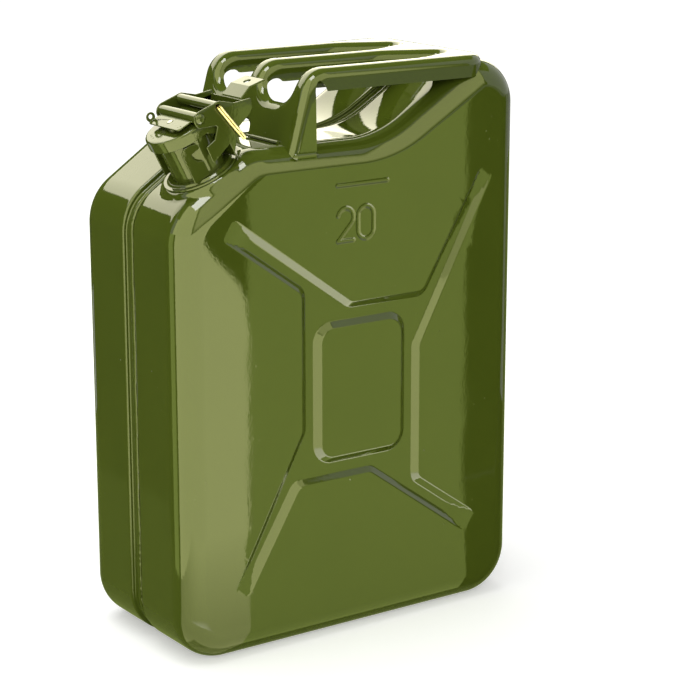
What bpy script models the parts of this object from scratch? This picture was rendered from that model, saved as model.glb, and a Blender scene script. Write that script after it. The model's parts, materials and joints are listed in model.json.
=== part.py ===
# Steel fuel can of twenty litres, with a pressed body in two halves, a three bar handle
# and a cam lever closure. Metres, +Z up. X runs from the filler end (-X) to the rear,
# Y runs from the near large face (-Y) to the far one, and the origin is under the middle.

import math

import bmesh
import bpy
from mathutils import Matrix, Vector

# Clearance between neighbours, and the smallest rounding
GAP = 0.0003
SMALL_R = 0.0004

# Body
CAN_LENGTH = 0.338
CAN_DEPTH = 0.160
SHEET = 0.0010
BOTTOM_CORNER_R = 0.042
HANDLE_TOP = 0.480
HUMP_DROP = 0.0050
HUMP_TOP = HANDLE_TOP - HUMP_DROP
HUMP_REAR_R = 0.038
HUMP_LENGTH = 0.0450
HUMP_FRONT_X = CAN_LENGTH / 2.0 - HUMP_LENGTH
HUMP_FRONT_R = 0.020
RAMP_RUN = 0.0894
RAMP_FOOT_X = HUMP_FRONT_X - RAMP_RUN
RAMP_FOOT_R = 0.100
HAND_ROOM = 0.0600
DECK_TOP = HANDLE_TOP - HAND_ROOM
DECK_FRONT_R = 0.040
SLOPE_ANGLE = math.radians(34.0)
SLOPE_RUN = 0.0714
SLOPE_TOP_X = SLOPE_RUN - CAN_LENGTH / 2.0
FRONT_CORNER_R = 0.045
RIM_R = 0.022
RIM_STEPS = 5
CORNER_STEPS = 6

# Seam channel round the narrow sides
CHANNEL_HALF = 0.008
CHANNEL_DEPTH = 0.004
CHANNEL_LIP_R = 0.002
SEAM_GAP = GAP
SEAM_BEAD_HALF = 0.0018
SEAM_BEAD_HEIGHT = 0.0022

# Pressed cross on the large faces, point symmetric about its own centre
CROSS_X = 0.0022
CROSS_RISE = 0.0046
CROSS_Z = DECK_TOP / 2.0 + CROSS_RISE
CROSS_DEPTH = 0.0025
CROSS_WALL = 0.0025
CROSS_CORNER_R = 0.008
CROSS_TIP_R = 0.003
PANEL_HALF_X = 0.0462
PANEL_HALF_Z = 0.0587
PANEL_R = 0.018
PANEL_MOAT_X = 0.0084
PANEL_MOAT_Z = 0.0133
TOP_FIELD_LEFT = -0.0070
TOP_FIELD_RIGHT = 0.0633
TOP_FIELD_Z = PANEL_HALF_Z + PANEL_MOAT_Z
SIDE_FIELD_X = PANEL_HALF_X + PANEL_MOAT_X
SIDE_FIELD_LOW = -0.0848
SIDE_FIELD_HIGH = 0.0309
ARM_UP_MARGIN_X = 0.0433
ARM_UP_MARGIN_Z = 0.0374
ARM_DOWN_MARGIN_X = 0.0403
ARM_DOWN_MARGIN_Z = 0.0646
ARM_UP_X = CAN_LENGTH / 2.0 - CROSS_X - ARM_UP_MARGIN_X
ARM_UP_Z = DECK_TOP - CROSS_Z - ARM_UP_MARGIN_Z
ARM_DOWN_X = CAN_LENGTH / 2.0 - CROSS_X - ARM_DOWN_MARGIN_X
ARM_DOWN_Z = ARM_DOWN_MARGIN_Z - CROSS_Z
ARM_END_WIDTH = 0.0110

# Handle
HANDLE_SHEET = 0.0013
HANDLE_INSET = 0.0025
HANDLE_HALF = CAN_DEPTH / 2.0 - HANDLE_INSET
BAR_HALF = 0.0105
BAR_SPACING = HANDLE_HALF - BAR_HALF
LEG_STEP = 0.00015
LEG_ROOT = 0.0020
BAR_DEPTH = 0.0180
BAR_EDGE_R = 0.0065
BEND_R = 0.024
BEND_STEPS = 6
PLATE_LEAN = math.radians(15.8)
PLATE_SET_BACK = 0.0366
PLATE_FOOT_X = SLOPE_TOP_X + PLATE_SET_BACK
PLATE_FLANGE_LOW = 0.0240
PLATE_SKIRT = 0.0160
PLATE_START_Z = DECK_TOP - PLATE_SKIRT
VALLEY_RISE = 0.0320
VALLEY_FLOOR = DECK_TOP + VALLEY_RISE
VALLEY_R = 0.010
ARCH_HALF = 0.0075
ARCH_RISE = 0.0140
ARCH_TOP = DECK_TOP + ARCH_RISE
SLOT_OVERLAP = 0.0105
REAR_PLATE_FRONT = HUMP_FRONT_X - SLOT_OVERLAP
REAR_PLATE_MARGIN = 0.0295
REAR_PLATE_REAR = CAN_LENGTH / 2.0 - REAR_PLATE_MARGIN
REAR_PLATE_R = 0.024
SLOT_R = 0.012
LEG_DEPTH_LOW = 0.0070
FOOT_BEAD_R = 0.0030
FOOT_BEAD_DROP = 0.0080
FOOT_BEAD_Z = DECK_TOP - FOOT_BEAD_DROP
FOOT_BEAD_FRONT = PLATE_FOOT_X
FOOT_BEAD_REAR = FOOT_BEAD_FRONT + PLATE_FLANGE_LOW
PLATE_BEAD_R = 0.0013
PLATE_BEAD_INNER = 0.0120
PLATE_BEAD_MARGIN = 0.0195
PLATE_BEAD_OUTER = HANDLE_HALF - PLATE_BEAD_MARGIN

# Filler neck, in a frame whose x runs up the slope and whose z is the neck's axis
SEAT_R = 0.0320
SEAT_REACH = 0.0200
NECK_SET_DOWN = 0.0264
NECK_X = SLOPE_TOP_X - NECK_SET_DOWN
NECK_Y = -CHANNEL_HALF - SEAT_R
NECK_TILT = math.radians(27.0)
NECK_R = 0.0220
NECK_WALL = 0.0016
NECK_TOP = 0.0405
NECK_INSIDE = 0.0060
NECK_LIP_R = 0.0238
NECK_LIP = 0.0018
HOLE_R = NECK_R + GAP
HOLE_POCKET = 0.0050
RING_R = 0.0312
RING_EDGE = 0.0018
RING_HEIGHT = 0.0034
RING_STEP_R = 0.0265
TUBE_R = 0.0040
TUBE_WALL = 0.0008
TUBE_TOP = 0.0300
TUBE_BOTTOM = -0.0450
TUBE_AZIMUTH = math.radians(70.0)

# Brackets on the neck, and the cap's hinge at their rear
BRACKET_SHEET = 0.0015
BRACKET_TOP = 0.0335
HINGE_BACK_TOP = 0.0215
HINGE_S = 0.0310
HINGE_N = 0.0260
HINGE_PIN_R = 0.0025
HINGE_EYE_R = 0.0050
HINGE_EAR_SHEET = 0.0014

# Cap, leaf and gasket
CAP_HALF = 0.0258
CAP_SHEET = 0.0012
CAP_SKIRT = 0.0345
CAP_FRONT = -0.0284
CAP_REAR = 0.0270
CAP_EDGE_R = 0.0022
GASKET_T = 0.0020
GASKET_R = 0.0236
RETAINER_R = 0.0120
RETAINER_T = 0.0013
CAP_RIVET_S = -0.0050
CAP_RIVET_R = 0.0022
CAP_RIVET_HEAD_R = 0.0042
CAP_RIVET_HEAD_T = 0.0014
LEAF_T = 0.0012
LEAF_FRONT = -0.0125
LEAF_REAR = 0.0020
LEAF_HALF = 0.0232
LEAF_LIFT = 0.0037
EAR_S = -0.0084
EAR_RISE = 0.0042
EAR_R = 0.0040
EAR_HOLE_R = 0.0018

# Cam lever and its locking pin
PIVOT_S = 0.0057
PIVOT_N = 0.0492
KNUCKLE_R = 0.0045
PIVOT_RIVET_R = 0.0025
PIVOT_HEAD_R = 0.0042
PIVOT_HEAD_T = 0.0014
LEVER_IN = 0.0279
LEVER_SHEET = 0.0015
TOE_IN = 0.0264
SPACER_S = 0.0240
SPACER_N = 0.0487
SPACER_R = 0.0040
SPACER_BORE = 0.0024
TAB_HALF = 0.0140
TAB_HOLE_S = 0.0704
TAB_HOLE_R = 0.0030
LOCK_WIRE_R = 0.00095
LOCK_SPREAD = 0.0011
LOCK_HANG = 0.0330
LOCK_LEAN = math.radians(13.5)
LOCK_OUT = 0.0323
LOCK_TIP = 0.0305

GREEN = (0.118, 0.150, 0.026)
DARK_GREEN = (0.085, 0.110, 0.020)
BRASS = (0.55, 0.42, 0.16)
RUBBER = (0.015, 0.015, 0.015)
STEEL = (0.45, 0.45, 0.44)


def clear_scene():
    for obj in list(bpy.data.objects):
        bpy.data.objects.remove(obj, do_unlink=True)


def material(name, colour, roughness, metallic):
    mat = bpy.data.materials.new(name)
    mat.use_nodes = True
    shader = mat.node_tree.nodes["Principled BSDF"]
    shader.inputs["Base Color"].default_value = (*colour, 1.0)
    shader.inputs["Roughness"].default_value = roughness
    shader.inputs["Metallic"].default_value = metallic
    return mat


def add_object(name, bm, mat=None):
    """Turn a bmesh into a linked object with its faces pointing out."""
    bmesh.ops.remove_doubles(bm, verts=bm.verts, dist=1e-6)
    bmesh.ops.recalc_face_normals(bm, faces=bm.faces)
    mesh = bpy.data.meshes.new(name)
    bm.to_mesh(mesh)
    bm.free()
    obj = bpy.data.objects.new(name, mesh)
    COLLECTION.objects.link(obj)
    if mat:
        mesh.materials.append(mat)
    return obj


def smooth(obj, degrees=35.0):
    obj.data.shade_smooth()
    obj.data.set_sharp_from_angle(angle=math.radians(degrees))


def boolean(obj, tool, operation="DIFFERENCE"):
    """Cut obj with tool, keep the result as obj's mesh and remove the tool."""
    modifier = obj.modifiers.new("cut", "BOOLEAN")
    modifier.operation = operation
    modifier.solver = "EXACT"
    modifier.object = tool
    bpy.context.view_layer.update()
    evaluated = obj.evaluated_get(bpy.context.evaluated_depsgraph_get())
    mesh = bpy.data.meshes.new_from_object(evaluated)
    mesh.name = obj.name
    obj.modifiers.clear()
    obj.data = mesh
    bpy.data.objects.remove(tool, do_unlink=True)


def fillet(corners, inset=0.0, steps=CORNER_STEPS):
    """Round the corners (x, z, radius) of a closed outline that runs counterclockwise,
    after moving each side inwards by inset. The number of points stays the same."""
    count = len(corners)
    points = []
    for i in range(count):
        before = Vector(corners[i - 1][:2])
        here = Vector(corners[i][:2])
        after = Vector(corners[(i + 1) % count][:2])
        d_in = (here - before).normalized()
        d_out = (after - here).normalized()
        n_in = Vector((-d_in.y, d_in.x))
        n_out = Vector((-d_out.y, d_out.x))
        turn = d_in.x * d_out.y - d_in.y * d_out.x
        angle = math.atan2(turn, d_in.dot(d_out))
        corner = here + (n_in + n_out) * (inset / (1.0 + n_in.dot(n_out)))
        side = 1.0 if angle > 0 else -1.0
        radius = max(corners[i][2] - side * inset, SMALL_R)
        reach = radius * math.tan(abs(angle) / 2.0)
        centre = corner - d_in * reach + n_in * (side * radius)
        start = corner - d_in * reach - centre
        for k in range(steps + 1):
            a = angle * k / steps
            c, s = math.cos(a), math.sin(a)
            points.append(centre + Vector((start.x * c - start.y * s, start.x * s + start.y * c)))
    return points


def upright(point, height):
    """Outline in x and z, stacked along y."""
    return (point[0], height, point[1])


def flat(point, height):
    """Outline in x and y, stacked along z."""
    return (point[0], point[1], height)


def across(point, height):
    """Outline in y and z, stacked along x."""
    return (height, point[0], point[1])


def ring_stack(name, corners, stations, mat=None, steps=CORNER_STEPS, place=upright):
    """Closed solid through rings of one filleted outline. Each station is (inset, height)."""
    bm = bmesh.new()
    rings = []
    for inset, height in stations:
        ring = fillet(corners, inset, steps)
        rings.append([bm.verts.new(place(point, height)) for point in ring])
    bridge(bm, rings)
    bm.faces.new(rings[0])
    bm.faces.new(rings[-1])
    return add_object(name, bm, mat)


def prism(name, corners, low, high, mat=None, steps=3, place=upright):
    """Flat plate or block with a filleted outline."""
    return ring_stack(name, corners, [(0.0, low), (0.0, high)], mat, steps, place)


def spindle(name, stations, mat=None, steps=24, along_y=False):
    """Solid turned about z, or about y, through (radius, height) stations."""
    bm = bmesh.new()
    rings = []
    for radius, height in stations:
        ring = []
        for i in range(steps):
            a = 2.0 * math.pi * i / steps
            ring.append(bm.verts.new((radius * math.cos(a), radius * math.sin(a), height)))
        rings.append(ring)
    bridge(bm, rings)
    bm.faces.new(rings[0])
    bm.faces.new(rings[-1])
    if along_y:
        bm.transform(Matrix.Rotation(math.radians(-90.0), 4, "X"))
    return add_object(name, bm, mat)


def bridge(bm, rings, closed=False):
    """Join each ring of vertices to the next with quads."""
    pairs = list(zip(rings, rings[1:]))
    if closed:
        pairs.append((rings[-1], rings[0]))
    for low, high in pairs:
        for i in range(len(low)):
            bm.faces.new((low[i - 1], low[i], high[i], high[i - 1]))


def turned(name, profile, mat=None, steps=32):
    """Solid turned about z from a closed profile of (radius, z) points."""
    bm = bmesh.new()
    rings = []
    for i in range(steps):
        a = 2.0 * math.pi * i / steps
        rings.append([bm.verts.new((r * math.cos(a), r * math.sin(a), z)) for r, z in profile])
    bridge(bm, rings, closed=True)
    return add_object(name, bm, mat)


def pipe(name, outer, bore, low, high, mat=None, steps=24, along_y=False):
    """Tube about z, or about y."""
    obj = turned(name, [(outer, high), (outer, low), (bore, low), (bore, high)], mat, steps)
    if along_y:
        obj.data.transform(Matrix.Rotation(math.radians(-90.0), 4, "X"))
    return obj


def moved(obj, x=0.0, y=0.0, z=0.0):
    obj.data.transform(Matrix.Translation((x, y, z)))
    return obj


def wire_loop(name, points, radius, mat):
    """Endless round wire through points."""
    curve = bpy.data.curves.new(name, "CURVE")
    curve.dimensions = "3D"
    curve.bevel_depth = radius
    curve.bevel_resolution = 2
    spline = curve.splines.new("POLY")
    spline.points.add(len(points) - 1)
    spline.use_cyclic_u = True
    for point, place in zip(spline.points, points):
        point.co = (*place, 1.0)
    holder = bpy.data.objects.new(name, curve)
    COLLECTION.objects.link(holder)
    bpy.context.view_layer.update()
    evaluated = holder.evaluated_get(bpy.context.evaluated_depsgraph_get())
    bm = bmesh.new()
    bm.from_mesh(bpy.data.meshes.new_from_object(evaluated))
    bpy.data.objects.remove(holder, do_unlink=True)
    return add_object(name, bm, mat)


def strip(points, thickness):
    """Outline of a bent sheet that lies to the left of its line of points."""
    line = [Vector(p) for p in points]
    other = []
    for i, point in enumerate(line):
        d_in = (point - line[i - 1]).normalized() if i else (line[1] - point).normalized()
        d_out = (line[i + 1] - point).normalized() if i < len(line) - 1 else d_in
        n_in = Vector((-d_in.y, d_in.x))
        n_out = Vector((-d_out.y, d_out.x))
        other.append(point + (n_in + n_out) * (thickness / (1.0 + n_in.dot(n_out))))
    return [(p.x, p.y, SMALL_R) for p in line + list(reversed(other))]


def frame(name, parent, location, tilt=0.0):
    """Empty that carries a body. Its origin is on the body's joint axis."""
    obj = bpy.data.objects.new(name, None)
    COLLECTION.objects.link(obj)
    obj.empty_display_size = 0.01
    obj.parent = parent
    obj.location = location
    obj.rotation_euler = (0.0, -tilt, 0.0)
    return obj


def mount(obj, holder, s=0.0, n=0.0):
    """Hang obj, modelled in the neck's frame, under a holder that stands at (s, n) there."""
    moved(obj, -s, 0.0, -n)
    obj.parent = holder
    return obj


def slope_height(x):
    """Height of the front slope at x, before its corners are rounded."""
    return DECK_TOP + (x - SLOPE_TOP_X) * math.tan(SLOPE_ANGLE)


def body_corners():
    """Side view of the body, counterclockwise from the front bottom corner."""
    half = CAN_LENGTH / 2.0
    return [
        (-half, 0.0, BOTTOM_CORNER_R),
        (half, 0.0, BOTTOM_CORNER_R),
        (half, HUMP_TOP, HUMP_REAR_R),
        (HUMP_FRONT_X, HUMP_TOP, HUMP_FRONT_R),
        (RAMP_FOOT_X, DECK_TOP, RAMP_FOOT_R),
        (SLOPE_TOP_X, DECK_TOP, DECK_FRONT_R),
        (-half, slope_height(-half), FRONT_CORNER_R),
    ]


def rim_stations(side, grow=0.0):
    """Rounded edge between a large face and the narrow sides."""
    radius = RIM_R + grow
    stations = []
    for k in range(RIM_STEPS + 1):
        a = math.radians(90.0) * k / RIM_STEPS
        inset = radius * (1.0 - math.sin(a)) - grow
        y = CAN_DEPTH / 2.0 + grow - radius * (1.0 - math.cos(a))
        stations.append((inset, side * y))
    return stations


def envelope(name, grow):
    """The body's outer form grown by grow, without its seam channel, as a cutter."""
    near = rim_stations(-1.0, grow)
    far = list(reversed(rim_stations(1.0, grow)))
    return ring_stack(name, body_corners(), near + far)


def half_stations(side):
    """From the large face round the rim, along the narrow side and into the channel."""
    lip = CHANNEL_LIP_R
    bevel = lip * (1.0 - math.sqrt(0.5))
    return rim_stations(side) + [
        (0.0, side * (CHANNEL_HALF + lip)),
        (bevel, side * (CHANNEL_HALF + bevel)),
        (lip, side * CHANNEL_HALF),
        (CHANNEL_DEPTH, side * (CHANNEL_HALF - lip)),
        (CHANNEL_DEPTH, side * SEAM_GAP / 2.0),
    ]


def cross_corners():
    """Outline of the pressed cross: one half, and the same turned by half a turn."""
    slope_up = Vector((ARM_UP_X - TOP_FIELD_RIGHT, ARM_UP_Z - TOP_FIELD_Z)).normalized()
    up_end = Vector((ARM_UP_X, ARM_UP_Z)) + Vector((slope_up.y, -slope_up.x)) * ARM_END_WIDTH
    low_left = Vector((TOP_FIELD_RIGHT, -TOP_FIELD_Z))
    slope_down = Vector((ARM_DOWN_X - SIDE_FIELD_X, ARM_DOWN_Z - SIDE_FIELD_LOW)).normalized()
    down_end = Vector((ARM_DOWN_X, ARM_DOWN_Z)) + Vector((slope_down.y, -slope_down.x)) * ARM_END_WIDTH
    half = [
        (-TOP_FIELD_LEFT, -TOP_FIELD_Z, CROSS_CORNER_R),
        (down_end.x, down_end.y, CROSS_TIP_R),
        (ARM_DOWN_X, ARM_DOWN_Z, CROSS_TIP_R),
        (SIDE_FIELD_X, SIDE_FIELD_LOW, CROSS_CORNER_R),
        (SIDE_FIELD_X, SIDE_FIELD_HIGH, CROSS_CORNER_R),
        (up_end.x, up_end.y, CROSS_TIP_R),
        (ARM_UP_X, ARM_UP_Z, CROSS_TIP_R),
        (low_left.x, -low_left.y, CROSS_CORNER_R),
    ]
    full = half + [(-x, -z, r) for x, z, r in half]
    return [(CROSS_X + x, CROSS_Z + z, r) for x, z, r in full]


def panel_corners():
    """Raised rectangle in the middle of the cross."""
    return [
        (CROSS_X - PANEL_HALF_X, CROSS_Z - PANEL_HALF_Z, PANEL_R),
        (CROSS_X + PANEL_HALF_X, CROSS_Z - PANEL_HALF_Z, PANEL_R),
        (CROSS_X + PANEL_HALF_X, CROSS_Z + PANEL_HALF_Z, PANEL_R),
        (CROSS_X - PANEL_HALF_X, CROSS_Z + PANEL_HALF_Z, PANEL_R),
    ]


def cross_tool(side):
    """Cutter that presses the cross into a large face and leaves the rectangle standing."""
    face = side * CAN_DEPTH / 2.0
    floor = face - side * CROSS_DEPTH
    out = face + side * CROSS_DEPTH
    tool = ring_stack("cross_tool", cross_corners(), [
        (-CROSS_WALL, out), (0.0, face), (CROSS_WALL, floor)], steps=3)
    island = ring_stack("panel_tool", panel_corners(), [
        (-CROSS_WALL * 2.0, floor - side * CROSS_DEPTH), (-CROSS_WALL, floor), (0.0, face),
        (0.0, out + side * CROSS_DEPTH)], steps=3)
    boolean(tool, island)
    return tool


def seat_tool(low, high, radius):
    """Cylinder on the neck's axis, from low to high above the seat."""
    bm = bmesh.new()
    bmesh.ops.create_cone(bm, cap_ends=True, segments=32, radius1=radius, radius2=radius,
                          depth=high - low, matrix=Matrix.Translation((0.0, 0.0, (high + low) / 2.0)))
    tool = add_object("seat_tool", bm)
    tool.data.transform(neck_matrix())
    return tool


def neck_matrix():
    """From the neck's own frame to the can's frame."""
    place = Matrix.Translation((NECK_X, NECK_Y, slope_height(NECK_X)))
    return place @ Matrix.Rotation(-NECK_TILT, 4, "Y")


def open_edges(solid, side):
    """Take away the face at the seam and the pocket of the neck's hole."""
    to_neck = neck_matrix().inverted()
    bm = bmesh.new()
    bm.from_mesh(solid.data)
    lost = []
    for face in bm.faces:
        middle = face.calc_center_median()
        local = to_neck @ middle
        in_pocket = math.hypot(local.x, local.y) < HOLE_R and -2.0 * HOLE_POCKET < local.z < -SMALL_R / 2.0
        if abs(middle.y - side * SEAM_GAP / 2.0) < SMALL_R / 10.0 or (side < 0 and in_pocket):
            lost.append(face)
    bmesh.ops.delete(bm, geom=lost, context="FACES_ONLY")
    loose = [v for v in bm.verts if not v.link_faces]
    bmesh.ops.delete(bm, geom=loose, context="VERTS")
    bmesh.ops.remove_doubles(bm, verts=bm.verts, dist=SMALL_R / 20.0)
    bmesh.ops.triangulate(bm, faces=[face for face in bm.faces if len(face.verts) > 4])
    bm.to_mesh(solid.data)
    bm.free()


def half_shell(name, side, mat):
    """One pressed half of the body, open towards the seam."""
    solid = ring_stack(name, body_corners(), half_stations(side), mat)
    if side < 0:
        boolean(solid, seat_tool(-SEAT_REACH, 0.0, SEAT_R), "UNION")
        boolean(solid, seat_tool(0.0, SEAT_REACH, SEAT_R + SMALL_R))
        boolean(solid, seat_tool(-HOLE_POCKET, SEAT_REACH, HOLE_R))
    boolean(solid, cross_tool(side))
    open_edges(solid, side)
    wall = solid.modifiers.new("sheet", "SOLIDIFY")
    wall.thickness = SHEET
    wall.offset = -1.0
    wall.use_even_offset = True
    smooth(solid)
    return solid


def seam_bead(name, mat):
    """Weld bead standing in the channel, all the way round the can."""
    foot = CHANNEL_DEPTH - GAP
    crown = CHANNEL_DEPTH - GAP - SEAM_BEAD_HEIGHT
    half = SEAM_BEAD_HALF
    loop = [(foot, -half), (crown + half / 2.0, -half), (crown, -half / 2.0), (crown, half / 2.0),
            (crown + half / 2.0, half), (foot, half)]
    bm = bmesh.new()
    rings = []
    for inset, y in loop:
        rings.append([bm.verts.new((p.x, y, p.y)) for p in fillet(body_corners(), inset)])
    bridge(bm, rings, closed=True)
    obj = add_object(name, bm, mat)
    smooth(obj)
    return obj


def channel_section(half, depths, radius, sheet, steps=4):
    """Outline of a folded channel as (across, down), open at the bottom. Its two sides
    have their own depths."""
    left, right = depths
    outer = []
    inner = []
    for k in range(steps + 1):
        a = math.radians(90.0) * k / steps
        c, s = math.cos(a), math.sin(a)
        outer.append((-half + radius - radius * c, radius - radius * s))
        inner.append((-half + radius - (radius - sheet) * c, radius - (radius - sheet) * s))
    path = [(-half, left)] + outer + [(-u, v) for u, v in reversed(outer)] + [(half, right)]
    back = [(half - sheet, right)] + [(-u, v) for u, v in inner] + list(reversed(inner))
    return path + back + [(-half + sheet, left)]


def sweep(name, sections, mat=None):
    """Solid through rings. Each ring is (section, x, y, z, pitch), where pitch turns the
    section's down direction from straight down towards the rear."""
    bm = bmesh.new()
    rings = []
    for section, x, y, z, pitch in sections:
        c, s = math.cos(pitch), math.sin(pitch)
        rings.append([bm.verts.new((x + v * s, y + u, z - v * c)) for u, v in section])
    bridge(bm, rings)
    bm.faces.new(rings[0])
    bm.faces.new(rings[-1])
    return add_object(name, bm, mat)


def lean_x(z):
    """Front face of the leaning plate at height z."""
    return PLATE_FOOT_X + (z - DECK_TOP) * math.tan(PLATE_LEAN)


def bend_start_z():
    return HANDLE_TOP - BEND_R + BEND_R * math.sin(PLATE_LEAN)


def bend_end_x():
    return lean_x(bend_start_z()) + BEND_R * math.cos(PLATE_LEAN)


def leg_depths(y, share):
    """Depths of a leg's two sides, a share of the way round the bend. The sides that
    face a valley start shallow and deepen, and the outer sides are deep all the way."""
    inner = LEG_DEPTH_LOW + (BAR_DEPTH - LEG_DEPTH_LOW) * math.sin(math.radians(90.0) * share)
    left = BAR_DEPTH if y < 0.0 else inner
    right = BAR_DEPTH if y > 0.0 else inner
    return left, right


def leg(y):
    """One leg of the front plate: up the lean, then round the bend to the horizontal."""
    half = BAR_HALF - LEG_STEP
    upright_pitch = math.radians(90.0) - PLATE_LEAN
    low = VALLEY_FLOOR - LEG_ROOT
    shallow = channel_section(half, leg_depths(y, 0.0), BAR_EDGE_R, HANDLE_SHEET)
    rings = [(shallow, lean_x(low) + LEG_STEP, y, low, upright_pitch)]
    for k in range(BEND_STEPS + 1):
        pitch = upright_pitch * (1.0 - k / BEND_STEPS)
        section = channel_section(half, leg_depths(y, k / BEND_STEPS), BAR_EDGE_R, HANDLE_SHEET)
        x = bend_end_x() - BEND_R * math.sin(pitch)
        z = HANDLE_TOP - BEND_R + BEND_R * math.cos(pitch)
        rings.append((section, x + LEG_STEP, y, z, pitch))
    return sweep("leg", rings)


def plate_cutter(name, corners):
    """Cutter through the leaning plate, from an outline in y and z."""
    return prism(name, corners, PLATE_FOOT_X - BEND_R, lean_x(HANDLE_TOP) + BEND_R, steps=4, place=across)


def valley_tool(side):
    """Opening in the plate between two legs."""
    low, high = side_span(BAR_HALF, BAR_SPACING - 2.0 * BAR_HALF, side)
    return plate_cutter("valley_tool", [
        (low, VALLEY_FLOOR, VALLEY_R), (high, VALLEY_FLOOR, VALLEY_R),
        (high, HANDLE_TOP, SMALL_R), (low, HANDLE_TOP, SMALL_R)])


def arch_tool():
    """Notch over the seam in the plate's foot."""
    radius = ARCH_HALF - SMALL_R
    return plate_cutter("arch_tool", [
        (-ARCH_HALF, 0.0, SMALL_R), (ARCH_HALF, 0.0, SMALL_R),
        (ARCH_HALF, ARCH_TOP, radius), (-ARCH_HALF, ARCH_TOP, radius)])


def front_plate(mat):
    """Pressed plate with side flanges and three legs that bend over into the bars."""
    pitch = math.radians(90.0) - PLATE_LEAN
    top = bend_start_z()
    deep = (PLATE_FLANGE_LOW, PLATE_FLANGE_LOW)
    low = channel_section(HANDLE_HALF, deep, BAR_EDGE_R, HANDLE_SHEET)
    high = channel_section(HANDLE_HALF, (BAR_DEPTH, BAR_DEPTH), BAR_EDGE_R, HANDLE_SHEET)
    plate = sweep("front_plate", [
        (low, lean_x(PLATE_START_Z), 0.0, PLATE_START_Z, pitch),
        (high, lean_x(top), 0.0, top, pitch)], mat)
    boolean(plate, valley_tool(1.0))
    boolean(plate, valley_tool(-1.0))
    boolean(plate, arch_tool())
    for y in (-BAR_SPACING, 0.0, BAR_SPACING):
        boolean(plate, leg(y), "UNION")
    boolean(plate, envelope("body_tool", GAP))
    smooth(plate)
    return plate


def grip_outline():
    """Plan of the top pressing: three bars that run on as one plate over the hump."""
    half = BAR_HALF
    inner = BAR_SPACING - half
    start = bend_end_x() - 2.0 * BAR_DEPTH
    front = REAR_PLATE_FRONT
    return [
        (start, -HANDLE_HALF, SMALL_R), (REAR_PLATE_REAR, -HANDLE_HALF, REAR_PLATE_R),
        (REAR_PLATE_REAR, HANDLE_HALF, REAR_PLATE_R), (start, HANDLE_HALF, SMALL_R),
        (start, inner, SMALL_R), (front, inner, SLOT_R), (front, half, SLOT_R), (start, half, SMALL_R),
        (start, -half, SMALL_R), (front, -half, SLOT_R), (front, -inner, SLOT_R), (start, -inner, SMALL_R),
    ]


def grip(mat):
    """Top pressing of the handle, open underneath and trimmed to the hump."""
    low = HANDLE_TOP - BAR_DEPTH
    spring = HANDLE_TOP - BAR_EDGE_R
    outer = [(0.0, low)]
    inner = [(HANDLE_SHEET, low - HANDLE_SHEET)]
    for k in range(5):
        a = math.radians(90.0) * k / 4.0
        c, s = math.cos(a), math.sin(a)
        thin = BAR_EDGE_R - HANDLE_SHEET
        outer.append((BAR_EDGE_R * (1.0 - c), spring + BAR_EDGE_R * s))
        inner.append((BAR_EDGE_R - thin * c, spring + thin * s))
    obj = ring_stack("handle_grip", grip_outline(), outer, mat, place=flat)
    boolean(obj, ring_stack("hollow_tool", grip_outline(), inner, place=flat))
    start = bend_end_x() + LEG_STEP + GAP
    block = [(start - CAN_LENGTH, -CAN_DEPTH, SMALL_R), (start, -CAN_DEPTH, SMALL_R),
             (start, CAN_DEPTH, SMALL_R), (start - CAN_LENGTH, CAN_DEPTH, SMALL_R)]
    boolean(obj, prism("end_tool", block, DECK_TOP, HANDLE_TOP + BAR_DEPTH, steps=1, place=flat))
    boolean(obj, envelope("body_tool", GAP))
    smooth(obj)
    return obj


def foot_weld(name, side, mat):
    """Bead where a flange of the front plate stands on the body's rounded edge."""
    stations = [(FOOT_BEAD_R * 0.5, FOOT_BEAD_FRONT), (FOOT_BEAD_R, FOOT_BEAD_FRONT + FOOT_BEAD_R),
                (FOOT_BEAD_R, FOOT_BEAD_REAR - FOOT_BEAD_R), (FOOT_BEAD_R * 0.5, FOOT_BEAD_REAR)]
    bead = spindle(name, stations, mat, steps=16)
    bead.data.transform(Matrix.Rotation(math.radians(90.0), 4, "Y"))
    moved(bead, 0.0, side * (CAN_DEPTH / 2.0 - FOOT_BEAD_R), FOOT_BEAD_Z)
    low, high = side_span(0.0, HANDLE_HALF + GAP, side)
    block = [(-CAN_LENGTH, low, SMALL_R), (CAN_LENGTH, low, SMALL_R),
             (CAN_LENGTH, high, SMALL_R), (-CAN_LENGTH, high, SMALL_R)]
    boolean(bead, prism("flange_tool", block, 0.0, HANDLE_TOP, steps=1, place=flat))
    boolean(bead, envelope("body_tool", GAP))
    smooth(bead)
    return bead


def plate_weld(name, side, mat):
    """Run of weld along the foot of the front plate, on one side of the seam."""
    x = lean_x(DECK_TOP + PLATE_BEAD_R) - PLATE_BEAD_R - 2.0 * GAP
    z = DECK_TOP + PLATE_BEAD_R + GAP
    low, high = side_span(PLATE_BEAD_INNER, PLATE_BEAD_OUTER - PLATE_BEAD_INNER, side)
    bead = spindle(name, [(PLATE_BEAD_R, low), (PLATE_BEAD_R, high)], mat, steps=12, along_y=True)
    smooth(moved(bead, x, 0.0, z))
    return bead


def neck(mat):
    profile = [
        (NECK_LIP_R, NECK_TOP), (NECK_LIP_R, NECK_TOP - NECK_LIP), (NECK_R, NECK_TOP - NECK_LIP),
        (NECK_R, -NECK_INSIDE), (NECK_R - NECK_WALL, -NECK_INSIDE), (NECK_R - NECK_WALL, NECK_TOP),
    ]
    return turned("neck", profile, mat, 40)


def neck_base_ring(mat):
    inner = NECK_R + GAP
    profile = [
        (RING_R, RING_EDGE), (RING_R, GAP), (inner, GAP), (inner, RING_HEIGHT),
        (RING_STEP_R, RING_HEIGHT), (RING_STEP_R + (RING_R - RING_STEP_R) / 3.0, RING_EDGE),
    ]
    return turned("neck_base_ring", profile, mat, 40)


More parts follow.
